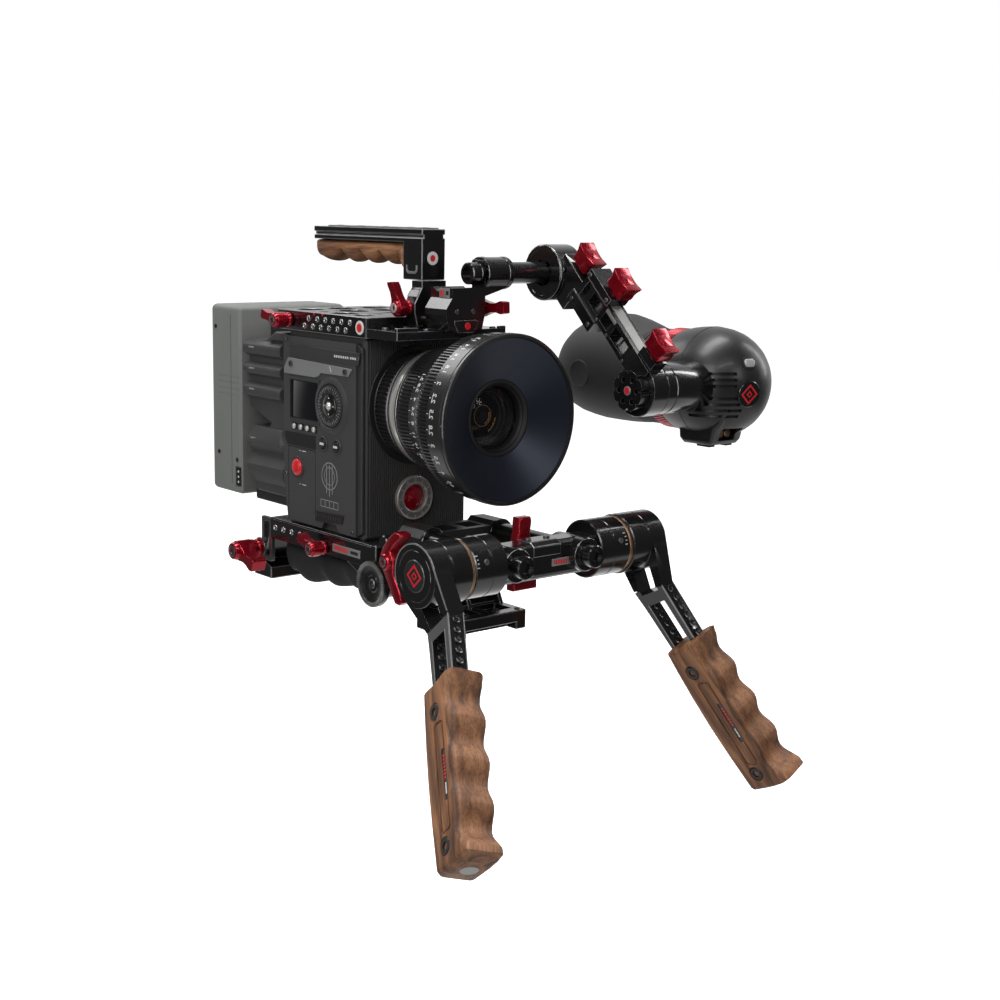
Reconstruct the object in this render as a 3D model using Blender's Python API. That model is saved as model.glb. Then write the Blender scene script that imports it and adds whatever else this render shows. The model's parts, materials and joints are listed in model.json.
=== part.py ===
"""Cinema camera rig: camera body, cine lens, top handle, finder on an arm, shoulder base and two front grips.

Lengths are millimetres from the optical origin, the centre of the circle at the front of the lens.
+Z is up and the lens looks along -Y. Left and right are as seen from in front of the lens, so left is -X.
solid() turns them into metres above the tripod face under the foot plate, which is the model's origin.
"""

import math

import bmesh
import bpy
from mathutils import Matrix, Vector

MM = 0.001
GAP = 0.3                              # clearance between pieces that touch
OPTICAL_ORIGIN = Vector((0.0, -44.0, 148.0))

# Driving sizes
BODY_X = (-44.0, 46.0)
BODY_Y = (102.0, 196.0)
BODY_Z = (-92.5, 48.0)
PANEL_X = (-48.0, -44.3)
BUTTON_FLOOR = -45.4
BATTERY_Y = (261.0, 306.0)
TOP_PLATE_Z = (48.3, 62.5)
SHELF_Z = (49.0, 55.0)
ROD_RADIUS = 7.5
ROD_X = 30.0
ROD_Z = -85.8
ROD_Y = (-53.5, 69.7)
SPINDLE_RADIUS = 6.0                   # inside the drums of the finder arm and the grip arms
FINDER_ROD = (60.0, 93.0)              # y and z of the rod that carries the finder arm
FINDER_AXIS = (-30.0, 18.0)            # y and z of the finder's tilt axis
FINDER_CENTRE_X = 172.0
ARM_LENGTH = 116.5                     # along the finder arm, from beside the rod to the tilt axis
ARM_SLOPE = math.radians(225.6)        # direction of the arm in the y-z plane
BAR_Y = -28.5                          # cross bar and the axis of both grip arms
BAR_Z = -86.0
HUB_RADIUS = 20.0
ARM_X = (87.5, 99.3)
ARM_KNEE = 33.5                        # from the hub axis to the bend of the arm
ARM_SPLAY = math.radians(22.0)
GRIP_SWING = {"left": math.radians(41.0), "right": math.radians(26.0)}
GRIP_HALF = 12.8                       # half the thickness of a wooden grip
FOOT_Z = -148.0
SIDES = {"left": -1.0, "right": 1.0}

BLACK = ((0.012, 0.012, 0.013, 1.0), 0.28, 0.9)
SATIN = ((0.03, 0.03, 0.032, 1.0), 0.5, 0.6)
GREY = ((0.07, 0.073, 0.076, 1.0), 0.6, 0.2)
RED = ((0.42, 0.008, 0.018, 1.0), 0.25, 0.9)
WOOD = ((0.17, 0.075, 0.035, 1.0), 0.5, 0.0)
RUBBER = ((0.015, 0.015, 0.016, 1.0), 0.85, 0.0)
PACK = ((0.17, 0.185, 0.18, 1.0), 0.6, 0.0)
BRONZE = ((0.45, 0.3, 0.2, 1.0), 0.35, 1.0)
SILVER = ((0.55, 0.55, 0.54, 1.0), 0.3, 1.0)
GLASS = ((0.02, 0.02, 0.04, 1.0), 0.05, 0.0)


# ---------------------------------------------------------------- tools

def clear_scene():
    for item in list(bpy.data.objects):
        bpy.data.objects.remove(item)


def painted(name, finish):
    """A material of its own for one piece."""
    colour, roughness, metallic = finish
    material = bpy.data.materials.new(f"{name}_finish")
    material.use_nodes = True
    shader = material.node_tree.nodes["Principled BSDF"]
    shader.inputs["Base Color"].default_value = colour
    shader.inputs["Roughness"].default_value = roughness
    shader.inputs["Metallic"].default_value = metallic
    return material


def solid(name, bm, finish, matrix=None, pivot=(0.0, 0.0, 0.0)):
    """Turns a bmesh in millimetres into an object in metres, with its origin on pivot."""
    if matrix is not None:
        bm.transform(matrix)
        if matrix.determinant() < 0.0:
            bmesh.ops.reverse_faces(bm, faces=bm.faces)
    pivot = Vector(pivot)
    bm.transform(Matrix.Scale(MM, 4) @ Matrix.Translation(-pivot))
    mesh = bpy.data.meshes.new(name)
    bm.to_mesh(mesh)
    bm.free()
    item = bpy.data.objects.new(name, mesh)
    item.location = (pivot + OPTICAL_ORIGIN) * MM
    bpy.context.scene.collection.objects.link(item)
    if finish is not None:
        mesh.materials.append(painted(name, finish))
        mesh.shade_smooth()
        mesh.set_sharp_from_angle(angle=math.radians(35))
    return item


def combine(item, operation, *tools):
    """Adds or cuts hidden tool shapes with exact Booleans."""
    for tool in tools:
        tool.hide_render = True
        tool.display_type = "WIRE"
        modifier = item.modifiers.new(tool.name, "BOOLEAN")
        modifier.operation = operation
        modifier.solver = "EXACT"
        modifier.object = tool
    return item


def add(item, *tools):
    return combine(item, "UNION", *tools)


def cut(item, *tools):
    return combine(item, "DIFFERENCE", *tools)


def block(x, y, z):
    """A box between two limits on each axis."""
    bm = bmesh.new()
    bmesh.ops.create_cube(bm, size=1.0)
    for vert in bm.verts:
        vert.co = [limits[0] if part < 0 else limits[1] for part, limits in zip(vert.co, (x, y, z))]
    return bm


def blocks(*boxes):
    """Several separate boxes in one mesh, for a cutter."""
    whole = bmesh.new()
    for limits in boxes:
        piece = block(*limits)
        mesh = bpy.data.meshes.new("box")
        piece.to_mesh(mesh)
        piece.free()
        whole.from_mesh(mesh)
        bpy.data.meshes.remove(mesh)
    return whole


def on_axis(axis, u, v, along):
    """The point with u and v across an axis and along it: X keeps (y, z), Y keeps (x, z), Z keeps (x, y)."""
    return {"X": (along, u, v), "Y": (u, along, v), "Z": (u, v, along)}[axis]


def prism(axis, outline, low, high):
    """An outline pushed straight along an axis."""
    bm = bmesh.new()
    ends = [[bm.verts.new(on_axis(axis, u, v, level)) for u, v in outline] for level in (low, high)]
    bm.faces.new(ends[0])
    bm.faces.new(ends[1])
    count = len(outline)
    for index in range(count):
        after = (index + 1) % count
        bm.faces.new((ends[0][index], ends[0][after], ends[1][after], ends[1][index]))
    bmesh.ops.recalc_face_normals(bm, faces=bm.faces)
    return bm


def turned(axis, centre, profile, segments=32):
    """A closed (radius, along) profile turned about an axis; a radius of zero is a pole."""
    bm = bmesh.new()
    rings = []
    for radius, along in profile:
        if radius == 0.0:
            rings.append([bm.verts.new(on_axis(axis, centre[0], centre[1], along))] * segments)
            continue
        ring = []
        for step in range(segments):
            angle = 2.0 * math.pi * step / segments
            u = centre[0] + radius * math.cos(angle)
            v = centre[1] + radius * math.sin(angle)
            ring.append(bm.verts.new(on_axis(axis, u, v, along)))
        rings.append(ring)
    for index, ring in enumerate(rings):
        following = rings[(index + 1) % len(rings)]
        for step in range(segments):
            after = (step + 1) % segments
            corners = dict.fromkeys((ring[step], ring[after], following[after], following[step]))
            if len(corners) > 2:
                bm.faces.new(list(corners))
    bmesh.ops.recalc_face_normals(bm, faces=bm.faces)
    return bm


def drum(axis, centre, radius, low, high, segments=32):
    return prism(axis, circle(centre, radius, segments), low, high)


def ring(axis, centre, inner, outer, low, high, segments=32):
    return turned(axis, centre, [(inner, low), (outer, low), (outer, high), (inner, high)], segments)


def circle(centre, radius, segments=24, start=0.0, sweep=2.0 * math.pi):
    """Points round a circle, or along an arc when sweep is less than a full turn."""
    steps = segments if abs(sweep) >= 2.0 * math.pi else segments + 1
    angles = [start + sweep * step / segments for step in range(steps)]
    return [(centre[0] + radius * math.cos(a), centre[1] + radius * math.sin(a)) for a in angles]


def rounded(u, v, radius, segments=4):
    """A rectangle with round corners."""
    corners = ((u[1] - radius, v[1] - radius, 0.0), (u[0] + radius, v[1] - radius, 0.5 * math.pi),
               (u[0] + radius, v[0] + radius, math.pi), (u[1] - radius, v[0] + radius, 1.5 * math.pi))
    points = []
    for cu, cv, start in corners:
        points += circle((cu, cv), radius, segments, start, 0.5 * math.pi)
    return points


def frame_at(origin, x_axis, y_axis):
    """A matrix with the given origin, X axis and Y axis; Z is their cross product."""
    x_axis = Vector(x_axis).normalized()
    y_axis = Vector(y_axis).normalized()
    z_axis = x_axis.cross(y_axis)
    turn = Matrix((x_axis, y_axis, z_axis)).transposed().to_4x4()
    return Matrix.Translation(Vector(origin)) @ turn


def lever(name, pivot, outward, pointing, barrel, reach, tip_width=9.0, radius=6.0):
    """A clamp lever: a barrel along outward from pivot, and a paddle that points across it."""
    matrix = frame_at(pivot, pointing, Vector(outward).cross(Vector(pointing)))
    paddle = circle((0.0, 0.0), radius, 12, 0.5 * math.pi, math.pi)
    paddle += [(reach * 0.35, -radius * 0.62), (reach, -tip_width * 0.5), (reach, tip_width * 0.5),
               (reach * 0.35, radius * 0.62)]
    item = solid(name, drum("Z", (0.0, 0.0), radius - 0.4, 0.0, barrel, 24), RED, matrix, pivot)
    flat = solid(f"{name}_paddle", prism("Z", paddle, barrel * 0.3, barrel * 0.85), None, matrix, pivot)
    return add(item, flat)


# ---------------------------------------------------------------- camera

def camera_body():
    item = solid("camera_body", block(BODY_X, BODY_Y, BODY_Z), SATIN)
    throat = solid("lens_throat", drum("Y", (0.0, 0.0), 24.0, 90.0, 122.0), None)
    return cut(item, throat)


PANEL_OUTLINE = [(108.0, -91.0), (129.0, -91.0), (132.0, -86.0), (147.0, -86.0), (150.0, -91.0), (194.0, -91.0),
                 (199.0, -60.0), (199.0, 44.0), (108.0, 44.0)]
DIAL = (137.5, -1.6)
RECORD = (180.6, -50.6)
ROUND_BUTTONS = {"mode_button": (147.6, -29.4), "lock_button": (130.7, -29.8)}
KEY_Y = (184.5, 176.0, 167.5, 159.0)
KEY_Z = -20.8


def side_panel():
    item = solid("side_panel", prism("X", PANEL_OUTLINE, *PANEL_X), GREY)
    screen = solid("screen_recess", block((-60.0, -47.0), (153.5, 189.5), (-15.0, 13.0)), None)
    cut(item, screen)
    for name, centre, radius in [("record_well", RECORD, 6.5)] + [
            (f"{name}_well", centre, 4.0) for name, centre in ROUND_BUTTONS.items()]:
        cut(item, solid(name, drum("X", centre, radius, -60.0, BUTTON_FLOOR, 24), None))
    wells = [((-60.0, BUTTON_FLOOR), (y - 3.3, y + 3.3), (KEY_Z - 2.5, KEY_Z + 2.5)) for y in KEY_Y]
    return cut(item, solid("key_wells", blocks(*wells), None))


def screen_glass():
    return solid("screen_glass", block((-47.9, -47.3), (154.0, 189.0), (-14.5, 12.5)), GLASS)


def panel_controls():
    wheel = [(5.6, -48.3), (15.0, -48.3), (15.0, -49.3), (13.8, -50.0), (6.4, -50.0), (5.6, -49.6)]
    solid("jog_wheel", turned("X", DIAL, wheel, 36), SATIN, pivot=(-50.0, *DIAL))
    solid("jog_button", drum("X", DIAL, 5.2, -50.4, -49.1, 20), SATIN, pivot=(-50.0, *DIAL))
    solid("record_button", drum("X", RECORD, 6.2, -50.2, -46.8, 24), RED, pivot=(-48.0, *RECORD))
    for name, centre in ROUND_BUTTONS.items():
        solid(name, drum("X", centre, 3.7, -49.6, -46.8, 16), SATIN, pivot=(-48.0, *centre))
    for index, y in enumerate(KEY_Y, start=1):
        limits = ((-49.4, -46.8), (y - 3.0, y + 3.0), (KEY_Z - 2.2, KEY_Z + 2.2))
        solid(f"soft_key_{index}", block(*limits), SATIN, pivot=(-48.0, y, KEY_Z))


def connector_housing():
    """Three stacked ribs over two wedge-shaped covers, behind the side panel."""
    outline = [(199.3, 45.0), (216.0, 45.0), (226.0, 38.0), (256.0, 38.0), (259.5, 34.0), (259.5, -16.0),
               (251.0, -22.0), (232.0, -24.0), (236.0, -34.0), (254.0, -46.0), (254.0, -68.0), (240.0, -77.0),
               (199.3, -77.0)]
    return solid("connector_housing", prism("X", outline, -48.0, -20.3), GREY)


def rear_module():
    return solid("rear_module", block((-20.0, 44.0), (196.3, 260.7), (-86.0, 48.0)), SATIN)


def battery_pack():
    outline = rounded((-47.5, 47.5), BATTERY_Y, 9.0, 5)
    item = solid("battery_pack", prism("Z", outline, -83.0, 61.0), PACK)
    band = solid("grip_band_recess", block((-60.0, -46.8), (270.0, 283.0), (-8.0, 34.0)), None)
    return cut(item, band)


def front_badge():
    item = ring("Y", (-2.8, -65.9), 9.6, 15.8, 98.9, 101.7, 36)
    return solid("badge_bezel", item, SILVER)


def top_plate():
    item = solid("top_plate", block((-48.0, 46.0), (96.0, 208.0), TOP_PLATE_Z), BLACK)
    holes = [(-22.0, 190.0, 9.0, 20), (6.0, 190.0, 9.0, 20), (32.0, 190.0, 7.0, 20), (-8.0, 164.0, 11.0, 24),
             (24.0, 160.0, 10.0, 20), (-34.0, 156.0, 6.5, 3), (-10.0, 136.0, 7.5, 3), (30.0, 130.0, 8.0, 3),
             (-30.0, 126.0, 8.0, 20)]
    for index, (x, y, radius, sides) in enumerate(holes, start=1):
        outline = circle((x, y), radius, sides)
        cut(item, solid(f"cheese_hole_{index}", prism("Z", outline, 40.0, 70.0), None))
    return item


def front_shelf():
    """The accessory shelf over the lens mount, with the dovetail rail that both clamps grip."""
    item = solid("front_shelf", block((-48.0, 46.0), (61.0, 95.7), SHELF_Z), BLACK)
    rail = [(-7.0, 54.0), (7.0, 54.0), (10.0, 60.0), (10.0, 62.5), (-10.0, 62.5), (-10.0, 60.0)]
    return add(item, solid("dovetail_rail", prism("Y", rail, 48.0, 95.0), None))


# ---------------------------------------------------------------- lens

def lens():
    """Hood, glass, barrel and three rings that turn: focus in front, then iris, then the mount lock."""
    centre = (0.0, 0.0)
    hood = [(54.5, 0.0), (57.0, 1.0), (57.0, 6.5), (46.0, 6.5), (46.0, 33.0), (25.5, 33.0), (25.5, 13.0),
            (53.5, 1.6)]
    solid("lens_hood", turned("Y", centre, hood, 40), BLACK)
    glass = [(0.0, 16.0), (12.0, 17.2), (25.2, 21.0), (25.2, 24.0), (0.0, 24.0)]
    solid("lens_glass", turned("Y", centre, glass, 24), GLASS)
    focus = [(46.3, 6.8), (56.3, 6.8), (56.3, 18.5), (54.8, 19.0), (54.8, 31.0), (52.0, 33.0), (46.3, 33.0)]
    solid("focus_ring", turned("Y", centre, focus, 40), BLACK, pivot=(0.0, 20.0, 0.0))
    barrel = [(0.0, 33.3), (50.0, 33.3), (46.0, 52.0), (40.0, 52.0), (40.0, 66.0), (43.0, 66.0), (43.0, 69.0),
              (40.5, 69.5), (40.5, 79.0), (38.0, 80.0), (38.0, 87.7), (30.0, 87.7), (30.0, 101.7), (23.7, 101.7),
              (23.7, 118.0), (0.0, 118.0)]
    solid("lens_barrel", turned("Y", centre, barrel, 32), BLACK)
    solid("iris_ring", ring("Y", centre, 40.3, 44.5, 52.3, 65.7, 36), BLACK, pivot=(0.0, 59.0, 0.0))
    solid("mount_lock_ring", ring("Y", centre, 30.3, 37.5, 88.0, 101.0, 32), SATIN, pivot=(0.0, 94.0, 0.0))


# ---------------------------------------------------------------- top handle

def top_handle():
    jaws = [(-10.4, 62.8), (-10.4, 59.8), (-8.6, 56.0), (-14.0, 56.0), (-16.5, 66.0), (-16.5, 72.0),
            (-10.5, 82.5), (-10.5, 87.2), (10.5, 87.2), (10.5, 82.5), (16.5, 72.0), (16.5, 66.0), (14.0, 56.0),
            (8.6, 56.0), (10.4, 59.8), (10.4, 62.8)]
    solid("handle_clamp", prism("Y", jaws, 83.5, 95.4), BLACK, pivot=(0.0, 95.0, 70.0))
    lever("handle_lever", (-16.8, 89.5, 69.0), (-1, 0, 0), (0.0, 0.1, 1.0), 13.0, 17.5)
    side = [(84.5, 122.0), (84.5, 87.5), (106.0, 87.5), (106.0, 112.8), (216.0, 112.8), (216.0, 122.0)]
    item = solid("handle_frame", prism("X", side, -10.0, 10.0), BLACK, pivot=(0.0, 95.0, 100.0))
    for sign, name in ((-1.0, "left"), (1.0, "right")):
        limits = sorted((sign * 8.6, sign * 20.0))
        groove = block(limits, (80.0, 220.0), (116.0, 118.2))
        cut(item, solid(f"{name}_bar_groove", groove, None))
    solid("handle_wood", prism("X", handle_wood_outline(), -9.6, 9.6), WOOD, pivot=(0.0, 160.0, 105.0))


def handle_wood_outline():
    """Four finger bumps under a straight top, with a tail that runs down the post."""
    outline = [(106.3, 112.5), (106.3, 93.0), (109.5, 97.0)]
    bumps = ((124.0, 97.0, 11.5), (148.0, 96.8, 11.5), (171.0, 97.6, 11.0), (198.0, 97.6, 15.0))
    for centre, depth, half in bumps:
        for part in (-0.9, -0.5, 0.0, 0.5, 0.9):
            outline.append((centre + half * part, depth + 4.5 * part * part))
    return outline + [(218.0, 106.0), (218.0, 112.5)]


# ---------------------------------------------------------------- finder mount, arm and finder

def arm_frame():
    """Local X runs down the arm, local Y towards its front edge, local Z is world X; the tilt axis is on local X."""
    down = Vector((0.0, math.cos(ARM_SLOPE), math.sin(ARM_SLOPE)))
    front = Vector((0.0, math.sin(ARM_SLOPE), -math.cos(ARM_SLOPE)))
    tilt_axis = Vector((0.0, *FINDER_AXIS))
    return frame_at(tilt_axis - down * ARM_LENGTH, down, front)


def finder_mount():
    jaws = [(-10.4, 62.8), (-10.4, 59.8), (-8.6, 56.0), (-14.0, 56.0), (-17.0, 66.0), (-17.0, 70.0),
            (-12.0, 77.0), (-12.0, 84.0), (14.0, 84.0), (16.5, 78.0), (16.5, 66.0), (14.0, 56.0), (8.6, 56.0),
            (10.4, 59.8), (10.4, 62.8)]
    item = solid("finder_mount", prism("Y", jaws, 48.3, 71.5), BLACK, pivot=(0.0, 60.0, 66.0))
    slant = [(-12.0, 76.0), (14.0, 76.0), (42.0, 84.0), (42.0, 100.0), (20.0, 102.0), (14.0, 99.0)]
    sleeve = solid("mount_sleeve", drum("X", FINDER_ROD, 11.0, 20.0, 43.0), None)
    bore = solid("mount_bore", drum("X", FINDER_ROD, ROD_RADIUS + GAP, 0.0, 60.0), None)
    trim = solid("mount_rod_clearance", drum("X", FINDER_ROD, 12.5, -30.0, 19.8), None)
    add(item, solid("mount_slant", prism("Y", slant, 53.0, 67.0), None))
    cut(item, trim)
    add(item, sleeve)
    cut(item, bore)
    lever("finder_mount_lever", (16.8, 60.0, 69.5), (1, 0, 0), (0.0, -1.0, 0.06), 12.0, 25.0)
    tube = [(0.0, 13.3), (5.0, 13.3), (5.0, 9.8), (ROD_RADIUS, 9.8), (ROD_RADIUS, 77.7), (SPINDLE_RADIUS, 77.7),
            (SPINDLE_RADIUS, 92.0), (0.0, 92.0)]
    solid("finder_rod", turned("X", FINDER_ROD, tube, 24), BLACK, pivot=(40.0, *FINDER_ROD))


def wing_knob(name, matrix, pivot):
    """A stem and two raised wings; local Z is the screw's axis."""
    wings = [(-5.5, 3.0), (5.5, 3.0), (8.5, 7.5), (10.5, 15.0), (5.0, 12.8), (0.0, 12.0), (-5.0, 12.8),
             (-10.5, 15.0), (-8.5, 7.5)]
    item = solid(name, drum("Z", (0.0, 0.0), 5.8, 0.0, 5.0, 20), RED, matrix, pivot)
    return add(item, solid(f"{name}_wings", prism("Y", wings, -5.5, 5.5), None, matrix, pivot))


def arm_block(along, across, x):
    """A box in the arm's own directions; x is the world X range."""
    return block(along, across, (-x[1], -x[0]))


def arm_blocks(*boxes):
    return blocks(*[(along, across, (-x[1], -x[0])) for along, across, x in boxes])


def finder_arm():
    """The outer arm hangs on the rod by its drum; the inner arm slides between its two rails."""
    frame = arm_frame()
    rod_pivot = (89.0, *FINDER_ROD)
    outer = solid("finder_arm_outer", drum("X", FINDER_ROD, 19.5, 78.0, 100.0, 28), BLACK, pivot=rod_pivot)
    parts = [((4.0, 31.0), (-16.0, 12.0), (81.0, 97.0)), ((28.0, 60.0), (-6.5, 2.7), (80.0, 98.0)),
             ((30.0, 59.0), (19.3, 25.5), (80.0, 98.0)), ((30.0, 34.5), (-4.0, 25.4), (81.0, 97.0))]
    for index, limits in enumerate(parts, start=1):
        add(outer, solid(f"outer_arm_part_{index}", arm_block(*limits), None, frame, rod_pivot))
    bore = drum("X", FINDER_ROD, SPINDLE_RADIUS + GAP, 70.0, 92.5, 16)
    cut(outer, solid("outer_arm_bore", bore, None, None, rod_pivot))

    tilt_pivot = (89.0, *FINDER_AXIS)
    inner = arm_block((38.5, ARM_LENGTH), (3.0, 19.0), (82.0, 96.5))
    inner = solid("finder_arm_inner", inner, BLACK, frame, tilt_pivot)
    hub = drum("X", FINDER_AXIS, 18.0, 84.3, 98.0, 28)
    add(inner, solid("inner_arm_hub", hub, None, None, tilt_pivot))
    seat = arm_block((99.0, 115.0), (10.0, 25.5), (84.5, 96.0))
    add(inner, solid("inner_arm_knob_seat", seat, None, frame, tilt_pivot))
    windows = arm_blocks(((43.0, 56.0), (6.5, 15.5), (70.0, 110.0)), ((60.0, 70.0), (6.5, 15.5), (70.0, 110.0)),
                         ((74.0, 92.0), (6.5, 15.5), (70.0, 110.0)))
    cut(inner, solid("inner_arm_windows", windows, None, frame, tilt_pivot))
    bore = drum("X", FINDER_AXIS, 8.3, 70.0, 110.0, 16)
    cut(inner, solid("inner_arm_bore", bore, None, None, tilt_pivot))
    recess = drum("X", FINDER_AXIS, 14.0, 70.0, 84.3, 24)
    cut(inner, solid("inner_arm_disc_recess", recess, None, None, tilt_pivot))

    for index, (along, out) in enumerate(((17.5, 12.3), (53.0, 25.8), (107.0, 25.8)), start=1):
        seat_point = frame @ Vector((along, out, -89.5))
        down = frame.to_3x3() @ Vector((1.0, 0.0, 0.0))
        wing_knob(f"arm_knob_{index}", frame_at(seat_point, down, (1.0, 0.0, 0.0)), tuple(seat_point))

    outline = []
    for step in range(32):
        radius = 13.6 if step % 4 < 2 else 12.2
        angle = math.tau * step / 32.0
        outline.append((FINDER_AXIS[0] + radius * math.cos(angle), FINDER_AXIS[1] + radius * math.sin(angle)))
    item = solid("tilt_lock_disc", prism("X", outline, 76.5, 84.0), BLACK, pivot=(80.0, *FINDER_AXIS))
    for step in range(6):
        angle = math.tau * step / 6.0
        centre = (FINDER_AXIS[0] + 8.2 * math.cos(angle), FINDER_AXIS[1] + 8.2 * math.sin(angle))
        hole = drum("X", centre, 2.0, 70.0, 80.5, 10)
        cut(item, solid(f"lock_disc_hole_{step}", hole, None, None, (80.0, *FINDER_AXIS)))


def finder():
    """A round body on a side shaft, a red focus ring and a deep rubber eyecup, all along Y."""
    centre = (FINDER_CENTRE_X, 18.0)
    pivot = (140.0, *FINDER_AXIS)
    shape = [(0.0, -60.5), (12.5, -58.8), (23.0, -54.0), (31.5, -46.0), (37.0, -35.5), (39.3, -22.0),
             (38.6, -9.0), (36.5, 2.0), (31.0, 2.0), (31.0, 34.0), (0.0, 34.0)]
    body = solid("finder_body", turned("Y", centre, shape, 28), SATIN, pivot=pivot)
    socket = block((154.0, 180.0), (-38.0, -8.0), (-25.0, 10.0))
    add(body, solid("finder_socket_box", socket, None, None, pivot))
    shaft = drum("X", FINDER_AXIS, 17.6, 98.3, 150.0, 28)
    add(body, solid("finder_shaft", shaft, None, None, pivot))
    spindle = drum("X", FINDER_AXIS, 8.0, 84.3, 100.0, 16)
    add(body, solid("finder_spindle", spindle, None, None, pivot))
    port = block((159.0, 175.0), (-60.0, -32.0), (-21.0, -12.0))
    cut(body, solid("finder_port_recess", port, None, None, pivot))
    focus = ring("Y", centre, 31.3, 36.0, 3.0, 15.5, 32)
    solid("finder_focus_ring", focus, RED, pivot=(centre[0], 9.0, centre[1]))
    cup = [(31.3, 16.0), (34.5, 16.0), (34.5, 33.0), (36.5, 45.0), (38.0, 66.0), (37.0, 88.0), (32.0, 108.0),
           (26.0, 116.0), (23.0, 114.0), (29.0, 100.0), (32.0, 80.0), (30.0, 56.0), (20.0, 40.0), (20.0, 34.3),
           (31.3, 34.3)]
    solid("eyecup", turned("Y", centre, cup, 28), RUBBER, pivot=(centre[0], 60.0, centre[1]))


# ---------------------------------------------------------------- base

def base_plate():
    outline = [(-28.0, 70.3), (28.0, 70.3), (28.0, 81.0), (50.0, 81.0), (50.0, 216.0), (-50.0, 216.0),
               (-50.0, 81.0), (-28.0, 81.0)]
    return solid("base_plate", prism("Z", outline, -108.5, -92.8), BLACK)


def rear_bracket():
    """A U-shaped frame at the rear end of the base plate."""
    outline = [(216.3, -93.0), (224.0, -96.0), (242.0, -132.0), (242.0, -141.0), (218.0, -141.0), (218.0, -132.0),
               (229.0, -128.0), (221.0, -109.0), (216.3, -107.0)]
    return solid("rear_bracket", prism("X", outline, -48.0, 48.0), BLACK)


def shoulder_pad():
    bottom = []
    for centre, depth, half in ((122.0, -133.5, 13.0), (150.0, -136.0, 13.0), (182.0, -139.0, 17.0)):
        for part in (-0.9, -0.45, 0.0, 0.45, 0.9):
            bottom.append((centre + half * part, depth + 4.0 * part * part))
    outline = [(104.0, -109.5), (104.0, -122.0)] + bottom + [(209.0, -130.0), (214.0, -118.0), (214.0, -109.5)]
    return solid("shoulder_pad", prism("X", outline, -41.5, 41.5), RUBBER)


def rosette():
    """The toothed disc on a triangular plate at the front left of the base."""
    centre = (69.5, -114.8)
    plate = [(120.0, -108.8), (82.0, -108.8), (80.0, -109.0), (79.0, -101.5), (62.0, -101.5), (57.0, -112.0),
             (62.0, -124.0), (72.0, -127.0), (84.0, -124.0)]
    item = solid("rosette_mount", prism("X", plate, -48.0, -42.0), BLACK)
    add(item, solid("rosette_boss", drum("X", centre, 11.0, -58.0, -32.0), None))
    step = math.tau / 24
    teeth = []
    for index in range(24):
        for radius, part in ((15.8, 0.0), (14.6, 0.5)):
            angle = step * (index + part)
            teeth.append((centre[0] + radius * math.cos(angle), centre[1] + radius * math.sin(angle)))
    return add(item, solid("rosette_disc", prism("X", teeth, -63.0, -56.5), None))


def rod_bridge():
    """The clamp that holds the rear ends of both rods, in front of the base plate."""
    outline = [(-38.0, -101.0), (38.0, -101.0), (40.5, -92.0), (40.5, -82.0), (36.0, -77.0), (24.0, -76.5),
               (21.0, -79.5), (-21.0, -79.5), (-24.0, -76.5), (-36.0, -77.0), (-40.5, -82.0), (-40.5, -92.0)]
    item = solid("rod_bridge", prism("Y", outline, 44.0, 70.0), BLACK)
    for side, sign in SIDES.items():
        bore = drum("Y", (sign * ROD_X, ROD_Z), ROD_RADIUS + GAP, 30.0, 90.0, 24)
        cut(item, solid(f"{side}_bridge_bore", bore, None))
    pockets = blocks(((-18.0, -4.0), (49.0, 65.0), (-88.0, -70.0)), ((4.0, 18.0), (49.0, 65.0), (-88.0, -70.0)))
    return cut(item, solid("bridge_pockets", pockets, None))


def rods():
    for side, sign in SIDES.items():
        tube = [(0.0, -50.0), (4.8, -50.0), (4.8, ROD_Y[0]), (ROD_RADIUS, ROD_Y[0]), (ROD_RADIUS, ROD_Y[1]),
                (0.0, ROD_Y[1])]
        solid(f"rod_{side}", turned("Y", (sign * ROD_X, ROD_Z), tube, 24), BLACK)


def foot_plate():
    item = solid("foot_plate", block((-30.5, 30.5), (15.5, 60.0), (FOOT_Z, -134.6)), BLACK)
    post = solid("foot_post", block((-30.5, 30.5), (46.5, 60.0), (-140.0, -101.3)), None)
    pockets = solid("foot_pockets", blocks(((-24.0, -4.0), (24.0, 42.0), (-138.4, -120.0)),
                                           ((4.0, 24.0), (24.0, 42.0), (-138.4, -120.0)),
                                           ((-22.0, 22.0), (10.0, 26.0), (-160.0, -142.8))), None)
    add(item, post)
    return cut(item, pockets)


def base_levers():
    lever("rear_lever", (-48.3, 232.0, -119.0), (-1, 0, 0), (0.0, -0.93, -0.36), 25.0, 24.0, 10.0, 7.5)
    lever("side_lever", (-50.3, 143.0, -103.5), (-1, 0, 0), (0.0, 0.93, 0.36), 14.0, 18.0, 7.0, 5.6)
    lever("plate_lever", (-48.3, 190.0, 55.5), (-1, 0, 0), (0.0, 0.98, 0.2), 15.0, 19.0, 7.0, 5.8)


def rod_lever():
    """A double wing on one screw, beside the rod bridge."""
    pivot = (-40.8, 48.0, -95.0)
    wings = [(45.0, -88.0), (33.0, -76.0), (40.0, -74.0), (53.0, -86.0), (55.0, -96.0), (48.0, -108.0),
             (39.0, -122.0), (31.0, -120.0), (41.0, -102.0)]
    item = solid("rod_lever", drum("X", (48.0, -95.0), 6.0, -68.0, -40.8, 20), RED, pivot=pivot)
    return add(item, solid("rod_lever_wings", prism("X", wings, -65.0, -55.0), None, None, pivot))


# ---------------------------------------------------------------- front grips

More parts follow.
